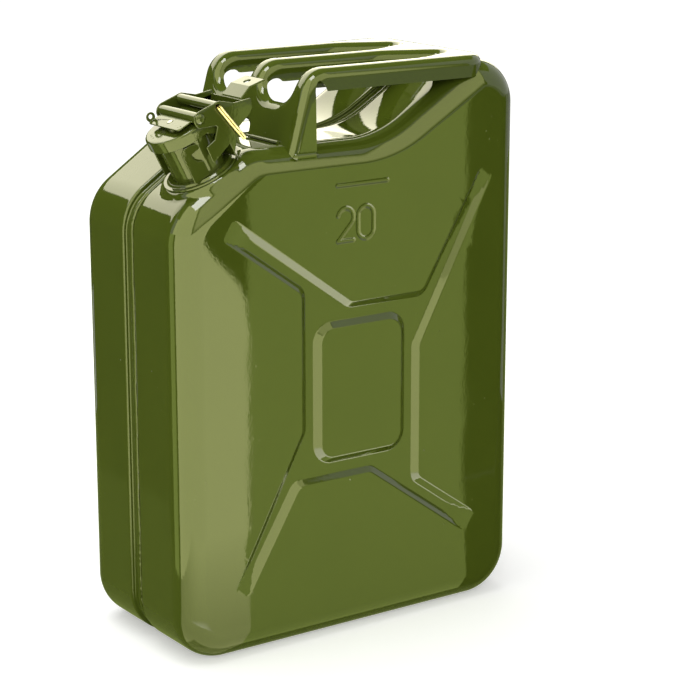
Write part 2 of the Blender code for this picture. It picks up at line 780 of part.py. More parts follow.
def breather_tube(mat):
    obj = pipe("breather_tube", TUBE_R, TUBE_R - TUBE_WALL, TUBE_BOTTOM, TUBE_TOP, mat, 20)
    reach = NECK_R - NECK_WALL - TUBE_R - GAP
    return moved(obj, reach * math.cos(TUBE_AZIMUTH), reach * math.sin(TUBE_AZIMUTH))


def side_span(inner, thickness, side):
    """Low and high ends of a plate that starts at inner from the neck's middle plane."""
    ends = (side * inner, side * (inner + thickness))
    return min(ends), max(ends)


def neck_bracket(name, side, mat):
    """Strap up the side of the neck whose hook opens to the rear."""
    foot = RING_HEIGHT + GAP
    outline = [
        (-0.0190, foot, SMALL_R), (-0.0040, foot, SMALL_R), (-0.0040, 0.0160, 0.0010),
        (-0.0090, 0.0185, 0.0010), (-0.0115, 0.0225, 0.0010), (-0.0115, 0.0262, 0.0010),
        (-0.0025, 0.0270, 0.0010), (-0.0030, 0.0312, 0.0020), (-0.0100, BRACKET_TOP, 0.0030),
        (-0.0190, BRACKET_TOP, 0.0050),
    ]
    low, high = side_span(NECK_R + GAP, BRACKET_SHEET, side)
    return prism(name, outline, low, high, mat)


def hinge_bracket(mat):
    """Bracket behind the neck with an ear on each side for the cap's pin."""
    foot = RING_HEIGHT + GAP
    inner = CAP_HALF - CAP_SHEET - GAP - HINGE_EAR_SHEET
    front = NECK_R + GAP
    back = [
        (front, -inner - SMALL_R, SMALL_R), (front + HINGE_EAR_SHEET, -inner - SMALL_R, SMALL_R),
        (front + HINGE_EAR_SHEET, inner + SMALL_R, SMALL_R), (front, inner + SMALL_R, SMALL_R),
    ]
    obj = prism("hinge_bracket", back, foot, HINGE_BACK_TOP, mat, steps=1, place=flat)
    ear = [
        (front, 0.0060, SMALL_R), (HINGE_S - 0.0005, 0.0165, 0.0020), (HINGE_S + HINGE_EYE_R, 0.0205, 0.0035),
        (HINGE_S + HINGE_EYE_R, HINGE_N + HINGE_EYE_R, 0.0045),
        (HINGE_S - HINGE_EYE_R, HINGE_N + HINGE_EYE_R, 0.0045), (front, HINGE_BACK_TOP, SMALL_R),
    ]
    for side in (-1.0, 1.0):
        low, high = side_span(inner, HINGE_EAR_SHEET, side)
        boolean(obj, prism("ear", ear, low, high), "UNION")
    reach = CAP_HALF + 2.0 * GAP
    bore = spindle("bore_tool", [(HINGE_PIN_R + GAP, -reach), (HINGE_PIN_R + GAP, reach)], along_y=True)
    boolean(obj, moved(bore, HINGE_S, 0.0, HINGE_N))
    return obj


def hinge_pin(mat):
    reach = CAP_HALF + GAP
    pin = spindle("hinge_pin", [(HINGE_PIN_R, -reach), (HINGE_PIN_R, reach)], mat, along_y=True)
    return moved(pin, HINGE_S, 0.0, HINGE_N)


def cap_top():
    return NECK_TOP + GAP + GASKET_T + GAP + CAP_SHEET


def cap_outline():
    """Plan of the cap: round in front, square behind."""
    nose = CAP_HALF * 0.96
    return [
        (CAP_FRONT, -CAP_HALF, nose), (CAP_REAR, -CAP_HALF, 0.003),
        (CAP_REAR, CAP_HALF, 0.003), (CAP_FRONT, CAP_HALF, nose),
    ]


def cap(mat):
    top = cap_top()
    edge = CAP_EDGE_R
    bevel = edge * (1.0 - math.sqrt(0.5))
    obj = ring_stack("cap", cap_outline(), [
        (0.0, CAP_SKIRT), (0.0, top - edge), (bevel, top - bevel), (edge, top)], mat, 8, flat)
    arm = [
        (0.0080, 0.0338, 0.0010), (0.0315, 0.0198, 0.0042), (0.0374, 0.0257, 0.0042),
        (0.0300, 0.0370, 0.0030), (0.0269, 0.0410, SMALL_R), (0.0080, 0.0410, SMALL_R),
    ]
    for side in (-1.0, 1.0):
        low, high = side_span(CAP_HALF - CAP_SHEET, CAP_SHEET, side)
        boolean(obj, prism("arm", arm, low, high), "UNION")
    hollow = ring_stack("hollow_tool", cap_outline(), [
        (CAP_SHEET, CAP_SKIRT - NECK_TOP), (CAP_SHEET, top - CAP_SHEET)], None, 8, flat)
    boolean(obj, hollow)
    reach = CAP_HALF + 2.0 * GAP
    bore = spindle("bore_tool", [(HINGE_PIN_R + GAP, -reach), (HINGE_PIN_R + GAP, reach)], along_y=True)
    boolean(obj, moved(bore, HINGE_S, 0.0, HINGE_N))
    boolean(obj, rivet_hole())
    return obj


def rivet_hole():
    radius = CAP_RIVET_R + GAP
    return moved(spindle("hole_tool", [(radius, 0.0), (radius, 2.0 * NECK_TOP)], steps=16), CAP_RIVET_S)


def cap_gasket(mat):
    low = NECK_TOP + GAP
    obj = spindle("cap_gasket", [(GASKET_R, low), (GASKET_R, low + GASKET_T)], mat, 40)
    boolean(obj, rivet_hole())
    return obj


def gasket_retainer(mat):
    high = NECK_TOP
    obj = spindle("gasket_retainer", [(RETAINER_R, high - RETAINER_T), (RETAINER_R, high)], mat, 32)
    moved(obj, CAP_RIVET_S)
    boolean(obj, rivet_hole())
    return obj


def leaf_low():
    return cap_top() + LEAF_LIFT


def cap_rivet(mat):
    """Shouldered rivet that holds the gasket and its retainer up and carries the leaf."""
    foot = NECK_TOP - RETAINER_T - GAP
    shoulder = cap_top() + GAP
    seat = leaf_low() - GAP
    head = CAP_RIVET_HEAD_R
    shank = CAP_RIVET_R
    stations = [
        (head * 0.7, foot - CAP_RIVET_HEAD_T), (head, foot - CAP_RIVET_HEAD_T * 0.6), (head, foot),
        (shank, foot), (shank, shoulder), (head, shoulder), (head, seat), (shank, seat),
        (shank, leaf_low() + LEAF_T + GAP),
    ]
    return moved(spindle("cap_rivet", stations, mat), CAP_RIVET_S)


def cap_leaf(mat):
    """Plate over the cap, rolled round the lever's pivot at its rear edge."""
    low = leaf_low()
    outline = [
        (LEAF_FRONT, -LEAF_HALF, 0.0030), (LEAF_REAR, -LEAF_HALF, SMALL_R),
        (LEAF_REAR, LEAF_HALF, SMALL_R), (LEAF_FRONT, LEAF_HALF, 0.0030),
    ]
    obj = prism("cap_leaf", outline, low, low + LEAF_T, mat, place=flat)
    knuckle_end = LEVER_IN - 2.0 * GAP
    knuckle = spindle("knuckle", [(KNUCKLE_R, -knuckle_end), (KNUCKLE_R, knuckle_end)], along_y=True)
    boolean(obj, moved(knuckle, PIVOT_S, 0.0, PIVOT_N), "UNION")
    lug = spindle("lug", [(EAR_R, LEAF_HALF - LEAF_T), (EAR_R, LEAF_HALF - SMALL_R / 4.0)], along_y=True)
    boolean(obj, moved(lug, EAR_S, 0.0, low + EAR_RISE), "UNION")
    eye_ends = [(EAR_HOLE_R, LEAF_HALF - 2.0 * LEAF_T), (EAR_HOLE_R, LEAF_HALF + LEAF_T)]
    eye = spindle("hole_tool", eye_ends, steps=16, along_y=True)
    boolean(obj, moved(eye, EAR_S, 0.0, low + EAR_RISE + SMALL_R))
    reach = LEVER_IN
    bore = spindle("bore_tool", [(PIVOT_RIVET_R + GAP, -reach), (PIVOT_RIVET_R + GAP, reach)], along_y=True)
    boolean(obj, moved(bore, PIVOT_S, 0.0, PIVOT_N))
    boolean(obj, rivet_hole())
    return obj


def cheek(side):
    """Side plate of the lever, with the open notch of its cam hook and a folded toe."""
    outline = [
        (0.0000, 0.0117, 0.0010), (0.0128, 0.0155, 0.0020), (0.0258, 0.0192, 0.0030),
        (0.0329, 0.0249, 0.0030), (0.0460, 0.0285, 0.0030), (0.0508, 0.0320, 0.0020),
        (0.0530, 0.0392, 0.0015), (0.0378, 0.0441, 0.0040), (0.0270, 0.0525, 0.0040),
        (0.0060, 0.0548, 0.0050), (-0.0006, 0.0505, 0.0050), (0.0008, 0.0432, 0.0040),
        (0.0080, 0.0400, 0.0020), (0.0172, 0.0360, 0.0015), (0.0098, 0.0275, 0.0015),
        (0.0004, 0.0262, 0.0010),
    ]
    low, high = side_span(LEVER_IN, LEVER_SHEET, side)
    plate = prism("cheek", outline, low, high)
    toe = strip([(0.0014, 0.0135), (0.0017, 0.0255)], -LEVER_SHEET)
    low, high = side_span(TOE_IN, LEVER_IN - TOE_IN + LEVER_SHEET / 2.0, side)
    boolean(plate, prism("toe", list(reversed(toe)), low, high, steps=1), "UNION")
    return plate


def lever(mat):
    """Two cheeks joined by a web that runs out into the thumb tab."""
    obj = cheek(-1.0)
    obj.name = "lever"
    obj.data.materials.append(mat)
    boolean(obj, cheek(1.0), "UNION")
    half = LEVER_IN + LEVER_SHEET / 2.0
    web = strip([(0.0490, 0.0305), (0.0520, 0.0365)], LEVER_SHEET)
    boolean(obj, prism("web", web, -half, half, steps=1), "UNION")
    tab = strip([(0.0500, 0.0318), (0.0535, 0.0362), (0.0638, 0.0398), (0.0782, 0.0375)], LEVER_SHEET)
    boolean(obj, prism("tab", tab, -TAB_HALF, TAB_HALF, steps=1), "UNION")
    hole = spindle("hole_tool", [(TAB_HOLE_R, 0.0), (TAB_HOLE_R, 2.0 * NECK_TOP)])
    boolean(obj, moved(hole, TAB_HOLE_S))
    reach = LEVER_IN + 2.0 * LEVER_SHEET
    for s, n, radius in ((PIVOT_S, PIVOT_N, PIVOT_RIVET_R + GAP), (SPACER_S, SPACER_N, SPACER_BORE)):
        bore = spindle("bore_tool", [(radius, -reach), (radius, reach)], along_y=True)
        boolean(obj, moved(bore, s, 0.0, n))
    return obj


def lever_rivet(mat):
    face = LEVER_IN + LEVER_SHEET + GAP
    end = face + PIVOT_HEAD_T
    stations = [
        (PIVOT_HEAD_R * 0.6, -end), (PIVOT_HEAD_R, -face - PIVOT_HEAD_T / 3.0), (PIVOT_HEAD_R, -face),
        (PIVOT_RIVET_R, -face), (PIVOT_RIVET_R, face), (PIVOT_HEAD_R, face),
        (PIVOT_HEAD_R, face + PIVOT_HEAD_T / 3.0), (PIVOT_HEAD_R * 0.6, end),
    ]
    return moved(spindle("lever_rivet", stations, mat, along_y=True), PIVOT_S, 0.0, PIVOT_N)


def spacer_tube(mat):
    reach = LEVER_IN - GAP
    tube = pipe("spacer_tube", SPACER_R, SPACER_BORE, -reach, reach, mat, along_y=True)
    return moved(tube, SPACER_S, 0.0, SPACER_N)


def locking_pin(mat):
    """Doubled wire through the spacer tube whose near end hangs down beside the lever."""
    drop_s = math.sin(LOCK_LEAN) * LOCK_HANG
    drop_n = math.cos(LOCK_LEAN) * LOCK_HANG
    points = []
    for k in range(5):
        a = math.pi * k / 4.0
        points.append((SPACER_S - LOCK_SPREAD * math.cos(a), LOCK_TIP + LOCK_SPREAD * math.sin(a), SPACER_N))
    bend = 0.0020
    for side in (1.0, -1.0):
        s = SPACER_S + side * LOCK_SPREAD
        arm = [
            (s, -LOCK_OUT + bend, SPACER_N),
            (s, -LOCK_OUT + bend * 0.3, SPACER_N - bend * 0.3),
            (s, -LOCK_OUT, SPACER_N - bend),
            (s + drop_s, -LOCK_OUT, SPACER_N - drop_n),
        ]
        points.extend(arm if side > 0 else reversed(arm))
        if side > 0:
            for k in range(1, 4):
                a = math.pi * k / 4.0
                middle = SPACER_S + drop_s
                points.append((middle + LOCK_SPREAD * math.cos(a), -LOCK_OUT,
                               SPACER_N - drop_n - LOCK_SPREAD * math.sin(a)))
    return wire_loop("locking_pin", points, LOCK_WIRE_R, mat)


def build():
    green = material("green_paint", GREEN, 0.30, 0.0)
    closure_green = material("closure_paint", DARK_GREEN, 0.35, 0.0)
    brass = material("brass_wire", BRASS, 0.30, 1.0)
    rubber = material("black_rubber", RUBBER, 0.60, 0.0)
    steel = material("plain_steel", STEEL, 0.35, 1.0)
    half_shell("near_shell", -1.0, green)
    half_shell("far_shell", 1.0, green)
    seam_bead("seam_weld", green)
    front_plate(green)
    grip(green)
    foot_weld("foot_weld_near", -1.0, green)
    foot_weld("foot_weld_far", 1.0, green)
    plate_weld("plate_weld_near", -1.0, green)
    plate_weld("plate_weld_far", 1.0, green)

    fixed = frame("neck_frame", None, (NECK_X, NECK_Y, slope_height(NECK_X)), NECK_TILT)
    fixed_parts = [
        neck(closure_green), neck_base_ring(closure_green), breather_tube(steel),
        neck_bracket("neck_bracket_near", -1.0, closure_green),
        neck_bracket("neck_bracket_far", 1.0, closure_green),
        hinge_bracket(closure_green), hinge_pin(steel),
    ]
    for obj in fixed_parts:
        smooth(mount(obj, fixed))

    cap_frame = frame("cap_frame", fixed, (HINGE_S, 0.0, HINGE_N))
    cap_parts = [
        cap(closure_green), cap_gasket(rubber), gasket_retainer(steel), cap_rivet(steel),
        cap_leaf(closure_green),
    ]
    for obj in cap_parts:
        smooth(mount(obj, cap_frame, HINGE_S, HINGE_N))

    lever_frame = frame("lever_frame", cap_frame, (PIVOT_S - HINGE_S, 0.0, PIVOT_N - HINGE_N))
    for obj in [lever(closure_green), lever_rivet(closure_green), spacer_tube(closure_green)]:
        smooth(mount(obj, lever_frame, PIVOT_S, PIVOT_N))

    pin_frame = frame("pin_frame", lever_frame, (SPACER_S - PIVOT_S, 0.0, SPACER_N - PIVOT_N))
    smooth(mount(locking_pin(brass), pin_frame, SPACER_S, SPACER_N))


clear_scene()
COLLECTION = bpy.data.collections.new("fuel_can")
bpy.context.scene.collection.children.link(COLLECTION)
build()
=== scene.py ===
# Looks of the steel fuel can: finer pressed halves, the handle as one pressing, a rippled seam
# weld, glossy olive enamel, and a plain studio seen from the photograph's angle. Metres, in the
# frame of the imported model.

import json
import math

import bmesh
import bpy
import numpy as np
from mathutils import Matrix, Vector
from mathutils.geometry import delaunay_2d_cdt


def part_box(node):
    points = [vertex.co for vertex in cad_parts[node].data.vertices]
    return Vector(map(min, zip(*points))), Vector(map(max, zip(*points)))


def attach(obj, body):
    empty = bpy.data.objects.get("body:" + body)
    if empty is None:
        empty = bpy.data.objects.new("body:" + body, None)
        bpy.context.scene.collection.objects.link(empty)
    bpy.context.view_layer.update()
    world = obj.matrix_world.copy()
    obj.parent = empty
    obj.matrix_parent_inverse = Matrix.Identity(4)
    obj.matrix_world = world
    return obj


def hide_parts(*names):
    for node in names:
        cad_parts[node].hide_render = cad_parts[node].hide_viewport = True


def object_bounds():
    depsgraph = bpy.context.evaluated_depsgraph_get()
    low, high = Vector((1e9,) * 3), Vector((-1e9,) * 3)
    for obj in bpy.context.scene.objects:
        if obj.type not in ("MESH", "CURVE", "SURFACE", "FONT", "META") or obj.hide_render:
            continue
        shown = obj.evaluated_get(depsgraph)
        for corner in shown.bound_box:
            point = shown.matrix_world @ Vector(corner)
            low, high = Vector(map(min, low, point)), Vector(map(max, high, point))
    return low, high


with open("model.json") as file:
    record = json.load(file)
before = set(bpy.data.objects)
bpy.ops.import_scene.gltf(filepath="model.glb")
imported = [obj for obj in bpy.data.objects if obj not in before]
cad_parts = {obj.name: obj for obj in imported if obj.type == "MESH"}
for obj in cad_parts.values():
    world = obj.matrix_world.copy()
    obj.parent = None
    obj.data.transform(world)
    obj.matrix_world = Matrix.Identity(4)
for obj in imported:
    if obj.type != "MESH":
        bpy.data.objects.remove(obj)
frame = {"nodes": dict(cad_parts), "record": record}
CAD_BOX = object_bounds()
NODES = frame["nodes"]
SLOTS = {row["node"]: row["material_slot"] for row in frame["record"]["subparts"]}
BODIES = frame["record"]["behaviour"]["bodies"]
CARRIED = {node: body for body, nodes in BODIES.items() for node in nodes}

# Body, from the frame where it shows there
SHELL_LOW, SHELL_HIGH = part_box("near_shell")
HALF_LENGTH = SHELL_HIGH.x
HALF_DEPTH = -SHELL_LOW.y
HUMP_TOP = SHELL_HIGH.z
HANDLE_TOP = CAD_BOX[1].z
DECK_TOP = HANDLE_TOP - 0.0600
RIM_R = 0.022
SLOPE_ANGLE = math.radians(34.0)
SLOPE_TOP_X = 0.0714 - HALF_LENGTH
HUMP_FRONT_X = HALF_LENGTH - 0.0450
RAMP_FOOT_X = HUMP_FRONT_X - 0.0894
SLOPE_FOOT_Z = DECK_TOP - (HALF_LENGTH + SLOPE_TOP_X) * math.tan(SLOPE_ANGLE)
# Side view of the body as (x, z, radius), counterclockwise
BODY_CORNERS = [
    (-HALF_LENGTH, 0.0, 0.042),
    (HALF_LENGTH, 0.0, 0.042),
    (HALF_LENGTH, HUMP_TOP, 0.038),
    (HUMP_FRONT_X, HUMP_TOP, 0.020),
    (RAMP_FOOT_X, DECK_TOP, 0.100),
    (SLOPE_TOP_X, DECK_TOP, 0.040),
    (-HALF_LENGTH, SLOPE_FOOT_Z, 0.045),
]

# Spacing of the meshes' points, finer along the body's slope, which mirrors the sky
ARC_PITCH = 0.0025
STRAIGHT_PITCH = 0.0040
SLOPE_PITCH = 0.0015
SLOPE_SEGMENT = 5
RIM_STEPS = 20
BAND_STEPS = 32
COARSE_PITCH = 0.012
FADE_PITCH = 0.0021
FADE_FIELD = 0.034
MARK_PITCH = 0.0007
POINT_GAP = 0.001
MERGE_GAP = 1e-7
LEAST_R = 0.0004

# Seam channel and its weld
CHANNEL_HALF = 0.008
CHANNEL_DEPTH = 0.004
CHANNEL_LIP_R = 0.002
CHANNEL_ROOT_R = 0.0014
CHANNEL_LIP_STEPS = 6
CHANNEL_ROOT_STEPS = 4
SEAM_GAP = 0.0003
BEAD_HALF = 0.0026
BEAD_HEIGHT = 0.0017
BEAD_FOOT = 0.0002
BEAD_WANDER = 0.0005
BEAD_SWELL = 0.0004
BEAD_SWELL_UP = 0.6
BEAD_RIPPLE = 0.00022
BEAD_STEPS = 8
BEAD_PITCH = 0.0012

# Pressed cross with its raised rectangle, relative to its own centre. The plain field above it
# ends in TOP_FIELD (left x, right x, z), and the one beside it in SIDE_FIELD (low z, high z, x).
# EDGE_SHARE is the part of a wall's width that each of its rounded edges takes.
CROSS_CENTRE = np.array([0.0046, DECK_TOP / 2.0 + 0.0022])
CROSS_DEPTH = 0.0042
CROSS_WALL = 0.0068
CROSS_CORNER_R = 0.008
CROSS_TIP_R = 0.0075
TOP_FIELD = (-0.0096, 0.0620, 0.0757)
SIDE_FIELD = (-0.0875, 0.0280, 0.0600)
ARM_UP = np.array([0.1139, 0.1621])
ARM_UP_WIDTH = 0.0158
ARM_DOWN = np.array([0.1220, -0.1318])
ARM_DOWN_WIDTH = 0.0205
UPPER_ARM_LONGER = 0.0170
ARM_FADE = 0.032
CROSS_PITCHES = (0.0016, 0.0050)
PANEL_PITCHES = (0.0020, 0.0060)
PANEL_HALF = (0.0397, 0.0543)
PANEL_R = 0.0115
EDGE_SHARE = 0.18
FADE_SHARE = 0.40
NORMAL_STEP = 0.00015

# Stamped level mark and number
MARK_DEPTH = 0.0011
MARK_EDGE = 0.0011
MARK_SHARE = 0.45
STROKE = 0.0015
MARK_BAR = ((-0.0195, 0.3850), (0.0300, 0.3850))
DIGIT_Z = (0.3390, 0.3660)
DIGIT_X = ((-0.0192, -0.0038), (0.0008, 0.0162))
MARK_FIELD = ((-0.0235, 0.3355), (0.0345, 0.3885))

# Width of the rounded edges on copies of CAD nodes
REFINED = {
    "neck": 0.0003, "neck_base_ring": 0.0003, "neck_bracket_near": 0.0004,
    "neck_bracket_far": 0.0004, "hinge_bracket": 0.0004, "cap": 0.0005,
    "cap_leaf": 0.0004, "lever": 0.0005, "lever_rivet": 0.0005, "spacer_tube": 0.0004,
}
SAME_PLACE = 2e-6
FLAT_ANGLE = math.radians(0.5)
SHARP_ANGLE = math.radians(35.0)
REFINED_WEIGHT = 100

# Neck seat
NECK_TILT = math.radians(27.0)
NECK_Y = -CHANNEL_HALF - 0.0320
NECK_X = SLOPE_TOP_X - 0.0264
NECK_ORIGIN = np.array([NECK_X, NECK_Y, DECK_TOP + (NECK_X - SLOPE_TOP_X) * math.tan(SLOPE_ANGLE)])
SEAT_INNER = 0.0316
SEAT_OUTER = 0.0356
SEAT_HEIGHT = 0.02
HOLE_R = 0.0211

# Handle pressing, unrolled: s runs up the leaning plate, round its bend and along the bars
SHEET = 0.0013
SHEET_EDGE_R = 0.0085
SHEET_EDGE_STEPS = 8
SHEET_PITCH = 0.0030
SHEET_HALF = HALF_DEPTH - 0.0025
BAR_HALF = 0.0105
SHEET_LEAN = math.radians(15.8)
BEND_R = 0.024
PLATE_FOOT_X = SLOPE_TOP_X + 0.0366
SHEET_FOOT_Z = DECK_TOP - 0.0115
BEND_START_Z = HANDLE_TOP - BEND_R + BEND_R * math.sin(SHEET_LEAN)
BEND_START = (BEND_START_Z - SHEET_FOOT_Z) / math.cos(SHEET_LEAN)
BEND_END = BEND_START + BEND_R * (math.radians(90.0) - SHEET_LEAN)
BEND_START_X = PLATE_FOOT_X + (BEND_START_Z - DECK_TOP) * math.tan(SHEET_LEAN)
BEND_END_X = BEND_START_X + BEND_R * math.cos(SHEET_LEAN)
BAR_START = BEND_END - BEND_END_X
SHEET_END = BAR_START + HALF_LENGTH - 0.0295
SHEET_END_R = 0.024
ARCH_HALF = 0.0045
ARCH_END = 0.0230
VALLEY_START = 0.0450
VALLEY_R = 0.018
SLOT_NARROWS = BAR_START + 0.0750
SLOT_END = BAR_START + 0.1170
SLOT_END_HALF = 0.0040
# Depth of the turned down edges as (s, depth)
OUTER_SKIRT = ((0.0, 0.0275), (0.0735, 0.0056), (0.0830, 0.0180))
ARCH_SKIRT = 0.0020
VALLEY_SKIRT = ((0.0, 0.0070), (BEND_START, 0.0070), (BEND_END, 0.0180))
SHEET_ARC_PITCH = 0.0020
SHEET_SHARP_ANGLE = math.radians(40.0)
SHEET_WEIGHT = 50

# Camera fitted to the photograph
CAMERA_PLACE = (-1.0094, -1.5131, 0.7071)
CAMERA_PITCH = math.radians(14.696)
CAMERA_YAW = math.radians(34.902)
CAMERA_LENS = 113.54

# Studio: floor, world, and cards that only the paint's shine shows. The colours come first,
# then the strengths of the cards' light, and then where the cards are.
FLOOR_HALF = 30.0
# Added white on the floor for the camera: weaker within the span's first distance of the can, a painted
# shade round its foot that deepens its shadow, and full beyond the span's second distance.
FLOOR_LIFT = 0.38
FLOOR_LIFT_FAR = 0.62
FLOOR_PAINTED_SHADE_SPAN = (0.25, 0.90)
WORLD_DIFFUSE = 0.55
WARM = (1.0, 1.04, 0.46)
GREEN = (0.82, 1.0, 0.28)
NEUTRAL = (1.0, 1.0, 0.71)
SKY = (1.0, 0.95, 0.72)
KEY = (1.0, 1.0, 0.9)
BAND = 4.6
GREY = 1.80
DARK = 0.07
SIDE_GREY = 2.07
SIDE_DARK = 0.20
SIDE_FLOOR = 0.30
STEEP = 6.2
STEEP_RANGE = (0.45, 0.62)
FOOT_SHARE = 0.42
GREY_SHARE = 0.86
HIGH_LEFT = 4.4
STEEP_GAP = 0.135
JUST_ABOVE = 0.001
CARD_GAP = 0.004
WALL_GAP = 0.270
WALL_Y = -HALF_DEPTH - WALL_GAP
WALL_TOP = 0.410
SIDE_X = -HALF_LENGTH - 0.200
SIDE_BAND_Y = -0.066
SIDE_GREY_Y = (-0.040, 0.050)
SIDE_END_Y = 0.700
ROOM_X = 2.4
ROOM_TOP = 2.20
BOX_Y = -0.90
BACK_Y = 1.30
CORNER_X = -0.65
CORNER_Z = 1.60
# Edge of the light band on the large face, as (x, z) there
BAND_EDGE = (
    (-0.1068, 0.1121), (-0.1062, 0.2000), (-0.1056, 0.2776), (-0.1073, 0.3024), (-0.1137, 0.3154),
    (-0.1274, 0.3308), (-0.1356, 0.3398), (-0.1436, 0.3511), (-0.1497, 0.3677), (-0.1540, 0.3839),
    (-0.1560, 0.4560),
)
BAND_FOOT = -0.1079
GREY_END = (0.1120, 0.2000)
GREY_FOOT = 0.1185


def unit(vector):
    return vector / np.linalg.norm(vector)


class Outline:
    """Closed outline with rounded corners (x, z, radius), counterclockwise, that keeps its
    number of points when it is inset. The segment after corner number fine has closer points."""

    def __init__(self, corners, arc_pitch=ARC_PITCH, straight_pitch=STRAIGHT_PITCH, fine=None):
        self.corners = corners
        self.arc_steps = []
        self.straight_steps = []
        for i in range(len(corners)):
            angle = abs(self.turn(i)[0])
            steps = math.ceil(corners[i][2] * angle / arc_pitch)
            self.arc_steps.append(max(steps, 3))
        for i in range(len(corners)):
            start = self.arc(i, 0.0)[-1]
            end = self.arc((i + 1) % len(corners), 0.0)[0]
            pitch = SLOPE_PITCH if i == fine else straight_pitch
            self.straight_steps.append(max(math.ceil(np.linalg.norm(end - start) / pitch), 1))

    def turn(self, i):
        count = len(self.corners)
        before, here, after = (np.array(self.corners[k % count][:2]) for k in (i - 1, i, i + 1))
        d_in = unit(here - before)
        d_out = unit(after - here)
        angle = math.atan2(d_in[0] * d_out[1] - d_in[1] * d_out[0], float(d_in @ d_out))
        return angle, here, d_in, d_out

    def arc(self, i, inset):
        angle, here, d_in, d_out = self.turn(i)
        n_in = np.array([-d_in[1], d_in[0]])
        n_out = np.array([-d_out[1], d_out[0]])
        corner = here + (n_in + n_out) * (inset / (1.0 + float(n_in @ n_out)))
        side = 1.0 if angle > 0 else -1.0
        radius = max(self.corners[i][2] - side * inset, LEAST_R)
        reach = radius * math.tan(abs(angle) / 2.0)
        centre = corner - d_in * reach + n_in * (side * radius)
        spoke = corner - d_in * reach - centre
        a = angle * np.linspace(0.0, 1.0, self.arc_steps[i] + 1)
        c, s = np.cos(a), np.sin(a)
        return centre + np.stack([spoke[0] * c - spoke[1] * s, spoke[0] * s + spoke[1] * c], 1)

    def ring(self, inset):
        pieces = []
        count = len(self.corners)
        for i in range(count):
            arc = self.arc(i, inset)
            following = self.arc((i + 1) % count, inset)[0]
            steps = self.straight_steps[i]
            share = np.arange(1, steps)[:, None] / steps
            pieces.append(arc)
            pieces.append(arc[-1] + (following - arc[-1]) * share)
        return np.vstack(pieces)


def signed_distance(points, loop):
    """Distance of points to a closed loop, negative inside."""
    best = np.full(len(points), np.inf)
    inside = np.zeros(len(points), bool)
    for a, b in zip(loop, np.roll(loop, -1, axis=0)):
        edge = b - a
        length = float(edge @ edge)
        if length < 1e-16:
            continue
        t = np.clip((points - a) @ edge / length, 0.0, 1.0)
        gap = points - a - t[:, None] * edge
        best = np.minimum(best, (gap ** 2).sum(1))
        crosses = (a[1] > points[:, 1]) != (b[1] > points[:, 1])
        at = a[0] + (points[:, 1] - a[1]) * edge[0] / (edge[1] if edge[1] else 1e-12)
        inside ^= crosses & (points[:, 0] < at)
    return np.where(inside, -1.0, 1.0) * np.sqrt(best)


def line_distance(points, line):
    """Distance of points to an open line of points."""
    best = np.full(len(points), np.inf)
    for a, b in zip(line, line[1:]):
        edge = b - a
        t = np.clip((points - a) @ edge / float(edge @ edge), 0.0, 1.0)
        gap = points - a - t[:, None] * edge
        best = np.minimum(best, (gap ** 2).sum(1))
    return np.sqrt(best)


def eased(u, share=EDGE_SHARE):
    """Rise from 0 to 1 with a straight middle and a rounded start and end."""
    u = np.clip(u, 0.0, 1.0)
    slope = 1.0 / (1.0 - share)
    start = slope * u ** 2 / (2.0 * share)
    end = 1.0 - slope * (1.0 - u) ** 2 / (2.0 * share)
    middle = slope * (u - share / 2.0)
    return np.where(u < share, start, np.where(u > 1.0 - share, end, middle))


def cross_half(longer_up, longer_down):
    """Right half of the cross's outline, and the tips of its arms as (middle, direction)."""
    top_left, top_right, top_z = TOP_FIELD
    side_low, side_high, side_x = SIDE_FIELD
    along_up = unit(ARM_UP - np.array([top_right, top_z]))
    up_tip = ARM_UP + along_up * longer_up
    up_end = up_tip + np.array([along_up[1], -along_up[0]]) * ARM_UP_WIDTH
    along_down = unit(ARM_DOWN - np.array([side_x, side_low]))
    down_tip = ARM_DOWN + along_down * longer_down
    down_end = down_tip + np.array([along_down[1], -along_down[0]]) * ARM_DOWN_WIDTH
    corners = [
        (-top_left, -top_z, CROSS_CORNER_R),
        (*down_end, CROSS_TIP_R),
        (*down_tip, CROSS_TIP_R),
        (side_x, side_low, CROSS_CORNER_R),
        (side_x, side_high, CROSS_CORNER_R),
        (*up_end, CROSS_TIP_R),
        (*up_tip, CROSS_TIP_R),
        (top_right, top_z, CROSS_CORNER_R),
    ]
    return corners, [((up_tip + up_end) / 2.0, along_up), ((down_tip + down_end) / 2.0, along_down)]


def cross_outline():
    right, right_tips = cross_half(UPPER_ARM_LONGER, 0.0)
    left, left_tips = cross_half(0.0, UPPER_ARM_LONGER)
    cx, cz = CROSS_CENTRE
    full = right + [(-x, -z, r) for x, z, r in left]
    tips = [(CROSS_CENTRE + middle, along) for middle, along in right_tips]
    tips += [(CROSS_CENTRE - middle, -along) for middle, along in left_tips]
    return Outline([(cx + x, cz + z, r) for x, z, r in full], *CROSS_PITCHES), tips


def panel_outline():
    cx, cz = CROSS_CENTRE
    half_x, half_z = PANEL_HALF
    return Outline([
        (cx - half_x, cz - half_z, PANEL_R), (cx + half_x, cz - half_z, PANEL_R),
        (cx + half_x, cz + half_z, PANEL_R), (cx - half_x, cz + half_z, PANEL_R)], *PANEL_PITCHES)


def digit_two(low_x, high_x, low_z, high_z):
    radius = (high_x - low_x) / 2.0
    centre = np.array([low_x + radius, high_z - radius])
    a = np.radians(np.linspace(165.0, -40.0, 14))
    bow = centre + radius * np.stack([np.cos(a), np.sin(a)], 1)
    return np.vstack([bow, [[low_x, low_z]], [[high_x, low_z]]])


def digit_nought(low_x, high_x, low_z, high_z):
    radius = (high_x - low_x) / 2.0
    a = np.radians(np.linspace(0.0, 180.0, 15))
    half = radius * np.stack([np.cos(a), np.sin(a)], 1)
    top = np.array([low_x + radius, high_z - radius]) + half
    foot = np.array([low_x + radius, low_z + radius]) - half
    return np.vstack([top, foot, top[:1]])


